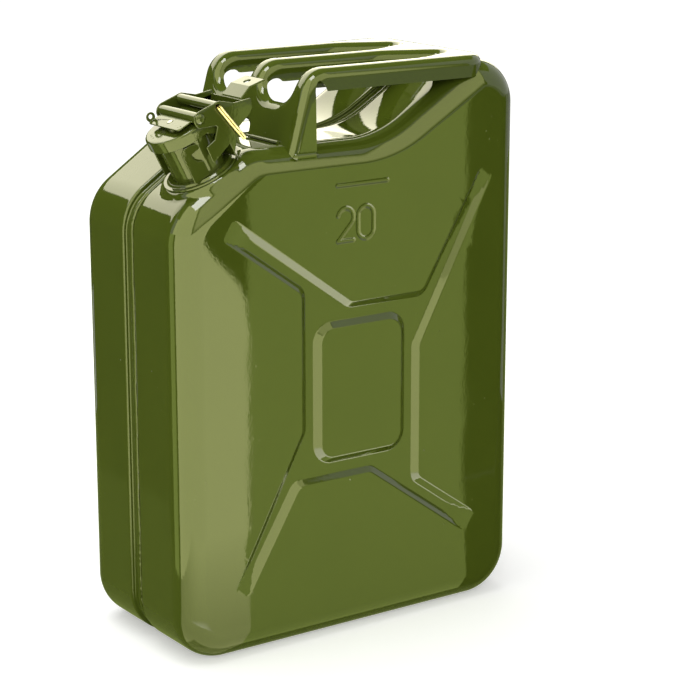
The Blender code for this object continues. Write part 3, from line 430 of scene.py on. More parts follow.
CROSS, TIPS = cross_outline()
PANEL = panel_outline()
CROSS_LOOP = CROSS.ring(0.0)
PANEL_LOOP = PANEL.ring(0.0)
MARKS = [
    np.array(MARK_BAR),
    digit_two(*DIGIT_X[0], *DIGIT_Z),
    digit_nought(*DIGIT_X[1], *DIGIT_Z),
]


def pressed_depth(points, marked):
    """How far the large face is pressed in at each point (x, z)."""
    wall = CROSS_WALL
    depth = eased(-signed_distance(points, CROSS_LOOP) / wall)
    depth = np.minimum(depth, eased(signed_distance(points, PANEL_LOOP) / wall))
    for tip, along in TIPS:
        depth = np.minimum(depth, eased((tip - points) @ along / ARM_FADE, FADE_SHARE))
    depth *= CROSS_DEPTH
    if marked:
        for line in MARKS:
            near = (STROKE + MARK_EDGE - line_distance(points, line)) / (2.0 * MARK_EDGE)
            depth = np.maximum(depth, MARK_DEPTH * eased(near, MARK_SHARE))
    return depth


def pressed_normals(points, side, marked):
    step = NORMAL_STEP
    slopes = []
    for axis in (np.array([step, 0.0]), np.array([0.0, step])):
        rise = pressed_depth(points + axis, marked) - pressed_depth(points - axis, marked)
        slopes.append(rise / (2.0 * step))
    normals = np.stack([slopes[0], np.full(len(points), side), slopes[1]], 1)
    return normals / np.linalg.norm(normals, axis=1)[:, None]


def grid(low, high, pitch):
    xs = np.arange(low[0] + pitch / 2.0, high[0], pitch)
    zs = np.arange(low[1] + pitch / 2.0, high[1], pitch)
    return np.stack(np.meshgrid(xs, zs, indexing="ij"), -1).reshape(-1, 2)


def loop_edges(first, size):
    """Edges of a closed loop of points that starts at first."""
    return [(first + k, first + (k + 1) % size) for k in range(size)]


def ring_faces(first, size):
    """Quads between the closed ring that starts at first and the ring after it."""
    return [(a, b, b + size, a + size) for a, b in loop_edges(first, size)]


def inner_points(rim, marked):
    """Loose points of the large face: few on its flats, more at the arms' tips and the mark."""
    coarse = grid((-HALF_LENGTH, 0.0), (HALF_LENGTH, HUMP_TOP), COARSE_PITCH)
    to_cross = signed_distance(coarse, CROSS_LOOP)
    to_panel = signed_distance(coarse, PANEL_LOOP)
    near_wall = (np.abs(to_cross + CROSS_WALL / 2.0) < CROSS_WALL) | (np.abs(to_panel) < 1.4 * CROSS_WALL)
    points = []
    for tip, along in TIPS:
        fade = grid(tip - FADE_FIELD, tip + FADE_FIELD, FADE_PITCH)
        inside = signed_distance(fade, CROSS_LOOP) < POINT_GAP
        points.append(fade[inside & (signed_distance(fade, rim) < -POINT_GAP)])
    points.append(coarse[(signed_distance(coarse, rim) < -3.0 * POINT_GAP) & ~near_wall])
    if marked:
        points.append(grid(*MARK_FIELD, MARK_PITCH))
    return points


def face_patch(rim, marked):
    """Triangles of the large face inside the rim's last ring: (points, triangles, rim index or -1)."""
    points = [rim]
    edges = []
    count = len(rim)
    share = EDGE_SHARE
    for u in (0.0, share / 2.0, share, 0.5, 1.0 - share, 1.0 - share / 2.0, 1.0):
        for loop in (CROSS.ring(u * CROSS_WALL), PANEL.ring(-u * CROSS_WALL)):
            points.append(loop)
            edges += loop_edges(count, len(loop))
            count += len(loop)
    flat = [Vector(p) for p in np.vstack(points + inner_points(rim, marked))]
    result = delaunay_2d_cdt(flat, edges, [list(range(len(rim)))], 1, MERGE_GAP)
    places = np.array([[v.x, v.y] for v in result[0]])
    origins = []
    for sources in result[3]:
        shared = [k for k in sources if k < len(rim)]
        origins.append(shared[0] if shared else -1)
    return places, [tuple(f) for f in result[2]], origins


def new_mesh(name, places, faces, smooth=True):
    mesh = bpy.data.meshes.new(name)
    mesh.from_pydata([tuple(p) for p in places], [], faces)
    if smooth:
        mesh.shade_smooth()
    mesh.update()
    obj = bpy.data.objects.new(name, mesh)
    bpy.context.scene.collection.objects.link(obj)
    return obj


def half_profile():
    """(inset, distance from the seam's plane) from the large face into the channel."""
    quarter = math.radians(90.0)
    profile = []
    for k in range(RIM_STEPS + 1):
        a = quarter * k / RIM_STEPS
        profile.append((RIM_R * (1.0 - math.sin(a)), HALF_DEPTH - RIM_R * (1.0 - math.cos(a))))
    start = HALF_DEPTH - RIM_R
    end = CHANNEL_HALF + CHANNEL_LIP_R
    profile += [(0.0, start + (end - start) * k / BAND_STEPS) for k in range(1, BAND_STEPS)]
    for k in range(CHANNEL_LIP_STEPS + 1):
        a = quarter * k / CHANNEL_LIP_STEPS
        profile.append((CHANNEL_LIP_R * (1.0 - math.cos(a)), end - CHANNEL_LIP_R * math.sin(a)))
    for k in range(CHANNEL_ROOT_STEPS + 1):
        a = quarter * k / CHANNEL_ROOT_STEPS
        profile.append((CHANNEL_DEPTH - CHANNEL_ROOT_R * (1.0 - math.sin(a)),
                        CHANNEL_HALF - CHANNEL_ROOT_R * (1.0 - math.cos(a))))
    profile.append((CHANNEL_DEPTH, SEAM_GAP / 2.0))
    return profile


def seated(places):
    """Places with those near the neck laid flat onto its seat, and which are in its hole."""
    axis = np.array([-math.sin(NECK_TILT), 0.0, math.cos(NECK_TILT)])
    gap = places - NECK_ORIGIN
    height = gap @ axis
    radial = np.linalg.norm(gap - height[:, None] * axis, axis=1)
    blend = np.clip((radial - SEAT_INNER) / (SEAT_OUTER - SEAT_INNER), 0.0, 1.0)
    blend = blend ** 2 * (3.0 - 2.0 * blend)
    near = (np.abs(height) < SEAT_HEIGHT) & (radial < SEAT_OUTER)
    lift = np.where(near, height * (1.0 - blend), 0.0)
    return places - lift[:, None] * axis, near & (radial < HOLE_R)


def half_body(name, side):
    """One half of the body: rims, sides and channel as rings, and the large face as a patch."""
    outline = Outline(BODY_CORNERS, fine=SLOPE_SEGMENT)
    rings = []
    for inset, distance in half_profile():
        ring = outline.ring(inset)
        rings.append(np.stack([ring[:, 0], np.full(len(ring), side * distance), ring[:, 1]], 1))
    size = len(rings[0])
    patch, triangles, origins = face_patch(rings[0][:, [0, 2]], side < 0)
    places = np.vstack(rings)
    in_hole = np.zeros(len(places), bool)
    if side < 0:
        places, in_hole = seated(places)
    fresh = [k for k, origin in enumerate(origins) if origin < 0]
    index = list(origins)
    for number, k in enumerate(fresh):
        index[k] = len(places) + number
    flat = patch[fresh]
    face = np.stack([flat[:, 0], side * (HALF_DEPTH - pressed_depth(flat, side < 0)), flat[:, 1]], 1)
    quads = [quad for r in range(len(rings) - 1) for quad in ring_faces(r * size, size)]
    faces = [quad if side < 0 else quad[::-1] for quad in quads if not in_hole[list(quad)].any()]
    for triangle in triangles:
        shape = tuple(index[k] for k in triangle)
        faces.append(shape[::-1] if side > 0 else shape)
    obj = new_mesh(name, np.vstack([places, face]), faces)
    clean_normals(obj, places, flat, side, size)
    return obj


def clean_normals(obj, places, flat, side, size):
    """Exact normals on the large face, so that its reflections stay straight."""
    mesh = obj.data
    bm = bmesh.new()
    bm.from_mesh(mesh)
    bmesh.ops.recalc_face_normals(bm, faces=bm.faces)
    bm.normal_update()
    bm.verts.ensure_lookup_table()
    flip = bm.verts[len(places)].normal.y * side < 0.0
    if flip:
        bmesh.ops.reverse_faces(bm, faces=bm.faces)
    bm.to_mesh(mesh)
    bm.free()
    normals = np.zeros(len(mesh.vertices) * 3)
    mesh.vertex_normals.foreach_get("vector", normals)
    normals = normals.reshape(-1, 3)
    normals[:size] = (0.0, side, 0.0)
    normals[len(places):] = pressed_normals(flat, side, side < 0)
    mesh.normals_split_custom_set_from_vertices([tuple(n) for n in normals])


def on_sheet(flat, depth):
    """Places of unrolled points (s, y) that lie depth below the pressing's outer face."""
    s, y = flat[:, 0], flat[:, 1]
    pitch = SHEET_LEAN + np.clip(s - BEND_START, 0.0, BEND_END - BEND_START) / BEND_R
    below = np.minimum(s - BEND_START, 0.0)
    beyond = np.maximum(s - BEND_END, 0.0)
    reach = BEND_R - depth
    x = BEND_END_X - reach * np.cos(pitch) + below * math.sin(SHEET_LEAN) + beyond
    z = HANDLE_TOP - BEND_R + reach * np.sin(pitch) + below * math.cos(SHEET_LEAN)
    return np.stack([x, y, z], 1)


def sheet_outlines():
    """Edge of the unrolled pressing, and of its two holes between the bars."""
    outer = [
        (0.0, -SHEET_HALF, 0.003), (SHEET_END, -SHEET_HALF, SHEET_END_R),
        (SHEET_END, SHEET_HALF, SHEET_END_R), (0.0, SHEET_HALF, 0.003),
        (0.0, ARCH_HALF, 0.001), (ARCH_END, ARCH_HALF, 0.004),
        (ARCH_END, -ARCH_HALF, 0.004), (0.0, -ARCH_HALF, 0.001),
    ]
    low, high = BAR_HALF, SHEET_HALF - 2.0 * BAR_HALF
    middle = (low + high) / 2.0
    hole = [
        (VALLEY_START, low, VALLEY_R), (VALLEY_START, high, VALLEY_R), (SLOT_NARROWS, high, 0.050),
        (SLOT_END, middle + SLOT_END_HALF, 0.003), (SLOT_END, middle - SLOT_END_HALF, 0.003),
        (SLOT_NARROWS, low, 0.050),
    ]
    mirrored_hole = [(s, -y, r) for s, y, r in reversed(hole)]
    return [Outline(corners, SHEET_ARC_PITCH, SHEET_PITCH) for corners in (outer, hole, mirrored_hole)]


def sheet_depth(ring, outer):
    """Depth of the skirt at each point of an edge."""
    table = OUTER_SKIRT if outer else VALLEY_SKIRT
    depth = np.interp(ring[:, 0], [s for s, d in table], [d for s, d in table])
    if outer:
        by_arch = (np.abs(ring[:, 1]) < 5.0 * ARCH_HALF) & (ring[:, 0] < BEND_START)
        depth = np.where(by_arch, ARCH_SKIRT, depth)
    return depth


def sheet_rows(outline, outer):
    """Rows of (s, y, depth) over the rounded edge, down the skirt and back up inside."""
    edge = outline.ring(0.0)
    span = (outline.ring(SHEET_EDGE_R) - edge) / SHEET_EDGE_R
    depth = sheet_depth(edge, outer)
    rows = []
    for skin in (0.0, SHEET):
        radius = SHEET_EDGE_R - skin
        least = np.arcsin(np.clip(1.0 - (depth - skin) / radius, 0.0, 1.0))
        side = []
        for k in range(SHEET_EDGE_STEPS + 1):
            a = np.maximum(math.radians(90.0) * (1.0 - k / SHEET_EDGE_STEPS), least)
            inset = skin + radius * (1.0 - np.cos(a))
            side.append((inset, skin + radius * (1.0 - np.sin(a))))
        inset, level = side[-1]
        side.append((inset, np.maximum(depth, level)))
        rows += side if skin == 0.0 else side[::-1]
    return [np.column_stack([edge + span * inset[:, None], level]) for inset, level in rows]


def edge_strips(outlines):
    """Rounded edges and skirts: their places, their faces, the number of places, and for each
    edge the first place of its outer row, the first of its inner row and its loop."""
    places = []
    faces = []
    edges = []
    count = 0
    for number, outline in enumerate(outlines):
        rows = sheet_rows(outline, number == 0)
        size = len(rows[0])
        places += [on_sheet(row[:, :2], row[:, 2]) for row in rows]
        for r in range(len(rows) - 1):
            faces += ring_faces(count + r * size, size)
        edges.append((count, count + (len(rows) - 1) * size, rows[0][:, :2]))
        count += size * len(rows)
    return places, faces, count, edges


def sheet_patch(loops):
    """Inner points of the unrolled pressing, and triangles over its loops and these points."""
    fill = grid((0.0, -SHEET_HALF), (SHEET_END, SHEET_HALF), SHEET_PITCH)
    keep = signed_distance(fill, loops[0]) < -POINT_GAP
    for loop in loops[1:]:
        keep &= signed_distance(fill, loop) > POINT_GAP
    fill = fill[keep]
    edges = []
    first = 0
    for loop in loops:
        edges += loop_edges(first, len(loop))
        first += len(loop)
    points = np.vstack(loops + [fill])
    outer = [list(range(len(loops[0])))]
    result = delaunay_2d_cdt([Vector(p) for p in points], edges, outer, 1, MERGE_GAP)
    triangles = np.array([[result[3][v][0] for v in triangle] for triangle in result[2]])
    centres = points[triangles].mean(axis=1)
    solid = np.ones(len(triangles), bool)
    for loop in loops[1:]:
        solid &= signed_distance(centres, loop) > 0.0
    return fill, triangles[solid]


def handle_sheet():
    """The handle as one pressing: plate, bend, three bars and the pad over the hump."""
    places, faces, count, edges = edge_strips(sheet_outlines())
    fill, triangles = sheet_patch([edge[2] for edge in edges])
    for level, skin in enumerate((0.0, SHEET)):
        index = []
        for edge in edges:
            index += range(edge[level], edge[level] + len(edge[2]))
        index += range(count, count + len(fill))
        places.append(on_sheet(fill, np.full(len(fill), skin)))
        count += len(fill)
        faces += [tuple(index[v] for v in triangle) for triangle in triangles]
    obj = new_mesh("handle_pressing", np.vstack(places), faces)
    bm = bmesh.new()
    bm.from_mesh(obj.data)
    bmesh.ops.recalc_face_normals(bm, faces=bm.faces)
    bm.to_mesh(obj.data)
    bm.free()
    obj.data.set_sharp_from_angle(angle=SHEET_SHARP_ANGLE)
    weigh_normals(obj, SHEET_WEIGHT)
    return obj


def smooth_noise(count, waves, seed):
    """Seamless noise of unit size round a loop."""
    rng = np.random.RandomState(seed)
    t = np.linspace(0.0, 2.0 * np.pi, count, endpoint=False)
    total = np.zeros(count)
    for wave in waves:
        total += rng.uniform(0.5, 1.0) * np.sin(wave * t + rng.uniform(0.0, 2.0 * np.pi))
    return total / np.abs(total).max()


def seam_weld():
    """Rippled bead of weld that runs round in the channel."""
    outline = Outline(BODY_CORNERS, BEAD_PITCH, BEAD_PITCH)
    count = len(outline.ring(0.0))
    wander = BEAD_WANDER * smooth_noise(count, (7, 19, 31, 67), 3)
    swell = BEAD_SWELL * smooth_noise(count, (11, 23, 83, 140), 5)
    ripple = BEAD_RIPPLE * smooth_noise(count, (170, 233, 290, 331), 9)
    half = BEAD_HALF + swell + ripple
    crown = BEAD_HEIGHT + BEAD_SWELL_UP * swell + ripple
    deep, level = outline.ring(CHANNEL_DEPTH), outline.ring(0.0)
    rings = []
    for k in range(BEAD_STEPS + 1):
        a = math.pi * k / BEAD_STEPS
        share = ((crown * math.sin(a) + BEAD_FOOT) / CHANNEL_DEPTH)[:, None]
        ring = deep * (1.0 - share) + level * share
        rings.append(np.stack([ring[:, 0], wander - half * math.cos(a), ring[:, 1]], 1))
    faces = [quad for r in range(BEAD_STEPS) for quad in ring_faces(r * count, count)]
    return new_mesh("seam_bead", np.vstack(rings), faces)


def weigh_normals(obj, weight):
    """Let large faces pull the shading more than small ones do."""
    weighted = obj.modifiers.new("weighted", "WEIGHTED_NORMAL")
    weighted.keep_sharp = True
    weighted.weight = weight


def node_of(tree, kind, **values):
    """New shader node with its properties and its inputs set by name."""
    made = tree.nodes.new(kind)
    for name, value in values.items():
        if hasattr(made, name):
            setattr(made, name, value)
        else:
            made.inputs[name.replace("_", " ")].default_value = value
    return made


def new_material(name):
    """New material, its tree, its shader and the object's own coordinates."""
    mat = bpy.data.materials.new(name)
    mat.use_nodes = True
    tree = mat.node_tree
    place = node_of(tree, "ShaderNodeTexCoord").outputs["Object"]
    return mat, tree, tree.nodes["Principled BSDF"], place


def noise(tree, place, scale, detail):
    made = node_of(tree, "ShaderNodeTexNoise", Scale=scale, Detail=detail)
    tree.links.new(place, made.inputs["Vector"])
    return made.outputs["Fac"]


def mapped(tree, value, low, high, to_low=0.0, to_high=1.0):
    """Value spread from the range low to high onto the range to_low to to_high."""
    made = node_of(tree, "ShaderNodeMapRange", From_Min=low, From_Max=high, To_Min=to_low, To_Max=to_high)
    tree.links.new(value, made.inputs["Value"])
    return made.outputs["Result"]


def product(tree, first, second):
    """Product of a value and a value or number."""
    made = node_of(tree, "ShaderNodeMath", operation="MULTIPLY")
    tree.links.new(first, made.inputs[0])
    if isinstance(second, float):
        made.inputs[1].default_value = second
    else:
        tree.links.new(second, made.inputs[1])
    return made.outputs[0]


def tinted(tree, value, low, low_colour, high, high_colour):
    """Colour that goes from one to another as the value goes from low to high."""
    made = node_of(tree, "ShaderNodeValToRGB")
    first, last = made.color_ramp.elements
    first.position, first.color = low, (*low_colour, 1.0)
    last.position, last.color = high, (*high_colour, 1.0)
    tree.links.new(value, made.inputs["Fac"])
    return made.outputs["Color"]


def bumped(tree, height, strength, distance, under=None):
    """Normal with bumps of this height, over the bumps under them."""
    made = node_of(tree, "ShaderNodeBump", Strength=strength, Distance=distance)
    tree.links.new(height, made.inputs["Height"])
    if under is not None:
        tree.links.new(under, made.inputs["Normal"])
    return made.outputs["Normal"]


def dust_specks(tree, place, patch, dust):
    """Small round specks that lie in patches."""
    cells = node_of(tree, "ShaderNodeTexVoronoi", Scale=170.0)
    tree.links.new(place, cells.inputs["Vector"])
    speck = mapped(tree, cells.outputs["Distance"], 0.0, 0.16, 1.0, 0.0)
    return product(tree, speck, mapped(tree, patch, 0.63 - dust, 0.73 - dust))


def paint(name, colour, shade, roughness, dust, peel):
    """Glossy enamel with faint colour drift, orange peel and specks of dust under the paint."""
    mat, tree, shader, place = new_material(name)
    link = tree.links.new
    shader.inputs["IOR"].default_value = 1.5
    patch = noise(tree, place, 31.0, 2.0)
    specks = dust_specks(tree, place, patch, dust)
    dusty = node_of(tree, "ShaderNodeMix", data_type="RGBA")
    dusty.inputs["B"].default_value = (0.25, 0.27, 0.12, 1.0)
    link(product(tree, specks, 0.35), dusty.inputs["Factor"])
    link(tinted(tree, noise(tree, place, 13.0, 3.0), 0.30, shade, 0.70, colour), dusty.inputs["A"])
    link(dusty.outputs["Result"], shader.inputs["Base Color"])
    rough = mapped(tree, patch, 0.35, 0.70, roughness * 0.7, roughness * 1.4)
    link(rough, shader.inputs["Roughness"])
    waves = bumped(tree, noise(tree, place, 24.0, 1.0), 1.0, 0.00012)
    orange = bumped(tree, noise(tree, place, 420.0, 2.0), 0.5, peel, waves)
    link(bumped(tree, specks, 1.0, 0.0002, orange), shader.inputs["Normal"])
    return mat


def metal(name, colour, dark, roughness, scale):
    """Bare metal with uneven tone and shine."""
    mat, tree, shader, place = new_material(name)
    link = tree.links.new
    shader.inputs["Metallic"].default_value = 1.0
    grain = noise(tree, place, scale, 4.0)
    link(tinted(tree, grain, 0.35, dark, 0.65, colour), shader.inputs["Base Color"])
    link(mapped(tree, grain, 0.3, 0.7, roughness * 0.7, roughness * 1.3), shader.inputs["Roughness"])
    link(bumped(tree, grain, 0.3, 0.00005), shader.inputs["Normal"])
    return mat


def rubber(name):
    """Matt black rubber with a fine grain."""
    mat, tree, shader, place = new_material(name)
    link = tree.links.new
    grain = noise(tree, place, 900.0, 3.0)
    tint = tinted(tree, grain, 0.0, (0.010, 0.010, 0.010), 1.0, (0.028, 0.027, 0.025))
    link(tint, shader.inputs["Base Color"])
    link(mapped(tree, grain, 0.0, 1.0, 0.5, 0.75), shader.inputs["Roughness"])
    link(bumped(tree, grain, 0.4, 0.0001), shader.inputs["Normal"])
    return mat


def bare_material(name):
    """New material with an empty tree."""
    mat = bpy.data.materials.new(name)
    mat.use_nodes = True
    mat.node_tree.nodes.clear()
    return mat, mat.node_tree


def surface(tree, shader):
    out = node_of(tree, "ShaderNodeOutputMaterial")
    tree.links.new(shader.outputs[0], out.inputs["Surface"])


def across_card(tree):
    """Place on the card, from 0 to 1 along each axis."""
    axes = node_of(tree, "ShaderNodeSeparateXYZ")
    tree.links.new(node_of(tree, "ShaderNodeTexCoord").outputs["Generated"], axes.inputs[0])
    return axes.outputs


def soft_strength(tree, strength, soft):
    """Strength that falls to nothing within a share of the card's width from its edges."""
    axes = across_card(tree)
    level = strength
    for axis in ("X", "Z"):
        fold = node_of(tree, "ShaderNodeMath", operation="PINGPONG")
        fold.inputs[1].default_value = 0.5
        tree.links.new(axes[axis], fold.inputs[0])
        edge = node_of(tree, "ShaderNodeMapRange", interpolation_type="SMOOTHSTEP", From_Max=soft)
        tree.links.new(fold.outputs[0], edge.inputs["Value"])
        level = product(tree, edge.outputs["Result"], level)
    return level


def gridded(tree, glow, colour, strength):
    """The glow from the side, but another colour and strength for rays straight down on it."""
    straight = node_of(tree, "ShaderNodeEmission", Color=(*colour, 1.0), Strength=strength)
    facing = node_of(tree, "ShaderNodeLayerWeight", Blend=0.5).outputs["Facing"]
    both = node_of(tree, "ShaderNodeMixShader")
    tree.links.new(mapped(tree, facing, *STEEP_RANGE), both.inputs[0])
    tree.links.new(straight.outputs[0], both.inputs[1])
    tree.links.new(glow.outputs[0], both.inputs[2])
    return both


def emitter(name, colour, strength, soft=0.0, fade=1.0, steep=None):
    """Light of a studio card. It can be soft at its edges, fade to a share of its strength
    towards +Y, and be gridded, with steep as the colour and strength seen straight on."""
    mat, tree = bare_material(name)
    glow = node_of(tree, "ShaderNodeEmission", Color=(*colour, 1.0), Strength=strength)
    if fade < 1.0:
        level = mapped(tree, across_card(tree)["Y"], 0.0, 1.0, strength, strength * fade)
        tree.links.new(level, glow.inputs["Strength"])
    if soft:
        tree.links.new(soft_strength(tree, strength, soft), glow.inputs["Strength"])
    surface(tree, gridded(tree, glow, *steep) if steep else glow)
    return mat


def floor_material():
    """Pale floor that the camera sees as white, with a painted shade round the can: less added white near
    it, so its shadow stays dark.
    """
    mat, tree = bare_material("floor_pale")
    link = tree.links.new
    diffuse = node_of(tree, "ShaderNodeBsdfDiffuse", Color=(0.82, 0.82, 0.81, 1.0))
    span = node_of(tree, "ShaderNodeVectorMath", operation="LENGTH")
    link(node_of(tree, "ShaderNodeTexCoord").outputs["Object"], span.inputs[0])
    # Less added white near the can: painted shade round its foot.
    far = mapped(tree, span.outputs["Value"], *FLOOR_PAINTED_SHADE_SPAN, FLOOR_LIFT, FLOOR_LIFT_FAR)
    seen = node_of(tree, "ShaderNodeLightPath").outputs["Is Camera Ray"]
    glow = node_of(tree, "ShaderNodeEmission", Color=(1.0, 1.0, 0.99, 1.0))
    link(product(tree, seen, far), glow.inputs["Strength"])
    both = node_of(tree, "ShaderNodeAddShader")
    link(diffuse.outputs[0], both.inputs[0])
    link(glow.outputs[0], both.inputs[1])
    surface(tree, both)
    return mat


def studio_world():
    """White where the camera or a reflection sees it, softer where it lights the can."""
    world = bpy.data.worlds.new("studio")
    bpy.context.scene.world = world
    world.use_nodes = True
    tree = world.node_tree
    link = tree.links.new
    back = tree.nodes["Background"]
    back.inputs["Color"].default_value = (1.0, 1.0, 1.0, 1.0)
    rays = node_of(tree, "ShaderNodeLightPath")
    seen = node_of(tree, "ShaderNodeMath", operation="MAXIMUM")
    link(rays.outputs["Is Camera Ray"], seen.inputs[0])
    link(rays.outputs["Is Glossy Ray"], seen.inputs[1])
    more = node_of(tree, "ShaderNodeMath", operation="MAXIMUM")
    link(seen.outputs[0], more.inputs[0])
    link(rays.outputs["Is Transmission Ray"], more.inputs[1])
    level = node_of(tree, "ShaderNodeMapRange", To_Min=WORLD_DIFFUSE, To_Max=1.0)
    link(more.outputs[0], level.inputs["Value"])
    link(level.outputs["Result"], back.inputs["Strength"])


def area_light(name, place, target, size, power):
    data = bpy.data.lights.new(name, "AREA")
    data.shape = "RECTANGLE"
    data.size, data.size_y = size
    data.energy = power
    obj = bpy.data.objects.new(name, data)
    bpy.context.scene.collection.objects.link(obj)
    obj.location = place
    obj.rotation_mode = "QUATERNION"
    obj.rotation_quaternion = (Vector(target) - Vector(place)).to_track_quat("-Z", "Y")
    obj.visible_camera = False
    obj.visible_glossy = False


def reflection_card(name, corners, colour, strength, **light):
    """Studio card that only shows in the paint's shine."""
    card = new_mesh(name, corners, [tuple(range(len(corners)))], False)
    card.data.materials.append(emitter(name + "_glow", colour, strength, **light))
    card.visible_camera = False
    card.visible_diffuse = False
    card.visible_shadow = False
    card.visible_transmission = False
    card.visible_volume_scatter = False


def mirrored(x, z, wall):
    """Place on an upright wall that the camera sees mirrored at (x, z) of the large face."""
    cx, cy, cz = CAMERA_PLACE
    behind = -2.0 * HALF_DEPTH - cy
    t = (wall - behind) / (-HALF_DEPTH - behind)
    return cx + t * (x - cx), wall, cz + t * (z - cz)


def upright_card(name, low_x, high_x, y, low, high, colour, strength, **light):
    corners = [(low_x, y, low), (high_x, y, low), (high_x, y, high), (low_x, y, high)]
    reflection_card(name, corners, colour, strength, **light)


def side_card(name, x, low_y, high_y, low, high, colour, strength):
    corners = [(x, low_y, low), (x, high_y, low), (x, high_y, high), (x, low_y, high)]
    reflection_card(name, corners, colour, strength)


def level_card(name, low, high, z, colour, strength):
    """Level card between two opposite corners (x, y)."""
    corners = [(low[0], low[1], z), (high[0], low[1], z), (high[0], high[1], z), (low[0], high[1], z)]
    reflection_card(name, corners, colour, strength)


def front_cards():
    """The light band, the grey field and the dark end that the large face mirrors."""
    edge = [mirrored(x, z, WALL_Y) for x, z in BAND_EDGE]
    edge = [(x, y, min(max(z, JUST_ABOVE), WALL_TOP)) for x, y, z in edge]
    band = edge + [(SIDE_X, WALL_Y, WALL_TOP), (SIDE_X, WALL_Y, JUST_ABOVE)]
    reflection_card("band_card", band, WARM, BAND)
    grey_end = mirrored(*GREY_END, WALL_Y)[0]
    upright_card("grey_card", edge[2][0], grey_end, WALL_Y, JUST_ABOVE, WALL_TOP, GREEN, GREY)
    upright_card("dark_card", SIDE_X - 0.3, HALF_LENGTH + 0.9, WALL_Y - CARD_GAP, 0.0, WALL_TOP,
                 GREEN, DARK)
    floor_cards(edge[0], (grey_end, WALL_Y, JUST_ABOVE))


def floor_cards(corner, grey_corner):
    """The same fields on the floor before the can, gridded in their outer part."""
    foot = (BAND_FOOT, -HALF_DEPTH, JUST_ABOVE)
    grey_foot = (GREY_FOOT, -HALF_DEPTH, JUST_ABOVE)
    band = [corner, foot, (-HALF_LENGTH, -HALF_DEPTH + RIM_R, JUST_ABOVE),
            (SIDE_X, SIDE_BAND_Y, JUST_ABOVE), (SIDE_X, WALL_Y, JUST_ABOVE)]
    reflection_card("band_floor", band, WARM, BAND, fade=FOOT_SHARE)
    reflection_card("grey_floor", [corner, grey_corner, grey_foot, foot], GREEN, GREY, fade=GREY_SHARE)
    share = (STEEP_GAP - HALF_DEPTH) / WALL_GAP
    left = 1.0 - share
    above = 2.0 * JUST_ABOVE
    start = (foot[0] + share * (corner[0] - foot[0]), -STEEP_GAP, above)
    end = (grey_foot[0] + share * (grey_corner[0] - grey_foot[0]), -STEEP_GAP, above)
    steep = (NEUTRAL, STEEP)
    reflection_card("band_grid", [corner, start, (SIDE_X, -STEEP_GAP, above), (SIDE_X, WALL_Y, above)],
                    WARM, BAND, steep=steep, fade=1.0 - (1.0 - FOOT_SHARE) * left)
    reflection_card("grey_grid", [corner, grey_corner, end, start],
                    GREEN, GREY, steep=steep, fade=1.0 - (1.0 - GREY_SHARE) * left)
    dark = [grey_corner, (HALF_LENGTH + 0.6, WALL_Y, JUST_ABOVE),
            (HALF_LENGTH + 0.6, -HALF_DEPTH, JUST_ABOVE), grey_foot]
    reflection_card("dark_floor", dark, GREEN, DARK)


def side_cards():
    """What the narrow side beside the neck mirrors."""
    side_card("side_band", SIDE_X, WALL_Y, SIDE_BAND_Y, JUST_ABOVE, WALL_TOP, WARM, BAND)
    side_card("side_grey", SIDE_X, *SIDE_GREY_Y, JUST_ABOVE, WALL_TOP, GREEN, SIDE_GREY)
    side_card("side_dark", SIDE_X - CARD_GAP, WALL_Y, SIDE_END_Y, JUST_ABOVE, WALL_TOP, GREEN, SIDE_DARK)
    outer = SIDE_X - 0.02
    floor = [(outer, SIDE_BAND_Y, JUST_ABOVE), (-HALF_LENGTH, -HALF_DEPTH + RIM_R, JUST_ABOVE),
             (-HALF_LENGTH, SIDE_END_Y, JUST_ABOVE), (outer, SIDE_END_Y, JUST_ABOVE)]
    reflection_card("side_floor", floor, GREEN, SIDE_FLOOR)


def far_cards():
    """Large boxes over the front, on the left, overhead and behind, for the upper edges."""
    upright_card("high_front", -0.55, 0.80, BOX_Y, 0.45, 2.00, WARM, 3.0, soft=0.12)
    upright_card("high_left", -ROOM_X, -0.55, BOX_Y, WALL_TOP, ROOM_TOP, WARM, HIGH_LEFT)
    low = [(-1.5, -0.45, JUST_ABOVE), (0.9, -0.45, JUST_ABOVE), (0.9, -2.4, JUST_ABOVE),
           (-2.0, -2.4, JUST_ABOVE)]
    reflection_card("low_front", low, WARM, 1.2)
    sky = [(-1.2, BACK_Y, 0.98), (0.35, BACK_Y, 0.98), (0.35, BACK_Y, 0.62), (1.9, BACK_Y, 0.62),
           (1.9, BACK_Y, 2.0), (-1.2, BACK_Y, 2.0)]
    reflection_card("high_back", sky, SKY, 4.3)
    upright_card("dark_back", -ROOM_X, ROOM_X, BACK_Y + 0.01, 0.0, 2.0, GREEN, 0.15)
    level_card("back_floor", (-HALF_LENGTH, -HALF_DEPTH), (ROOM_X, BACK_Y), JUST_ABOVE, GREEN, 0.30)
    level_card("overhead", (-ROOM_X, BOX_Y), (ROOM_X, BACK_Y), ROOM_TOP + 0.01, GREEN, 0.35)
    level_card("high_corner", (-ROOM_X, BOX_Y), (CORNER_X, 0.2), CORNER_Z, WARM, HIGH_LEFT)
    side_card("high_side", -ROOM_X, BOX_Y, 0.6, WALL_TOP, ROOM_TOP, WARM, HIGH_LEFT)
    level_card("key_card", (CORNER_X, -0.65), (-0.25, 0.0), CORNER_Z, KEY, 14.0)


def studio():
    studio_world()
    half = FLOOR_HALF
    corners = [(-half, -half, 0.0), (half, -half, 0.0), (half, half, 0.0), (-half, half, 0.0)]
    floor = new_mesh("floor", corners, [(0, 1, 2, 3)], False)
    floor.data.materials.append(floor_material())
    area_light("top_box", (-0.3, 0.3, 1.9), (0.0, 0.0, 0.25), (1.8, 1.4), 22.0)
    area_light("front_box", (-1.2, -1.9, 1.3), (0.0, 0.0, 0.2), (1.2, 1.2), 16.0)
    front_cards()
    side_cards()
    far_cards()


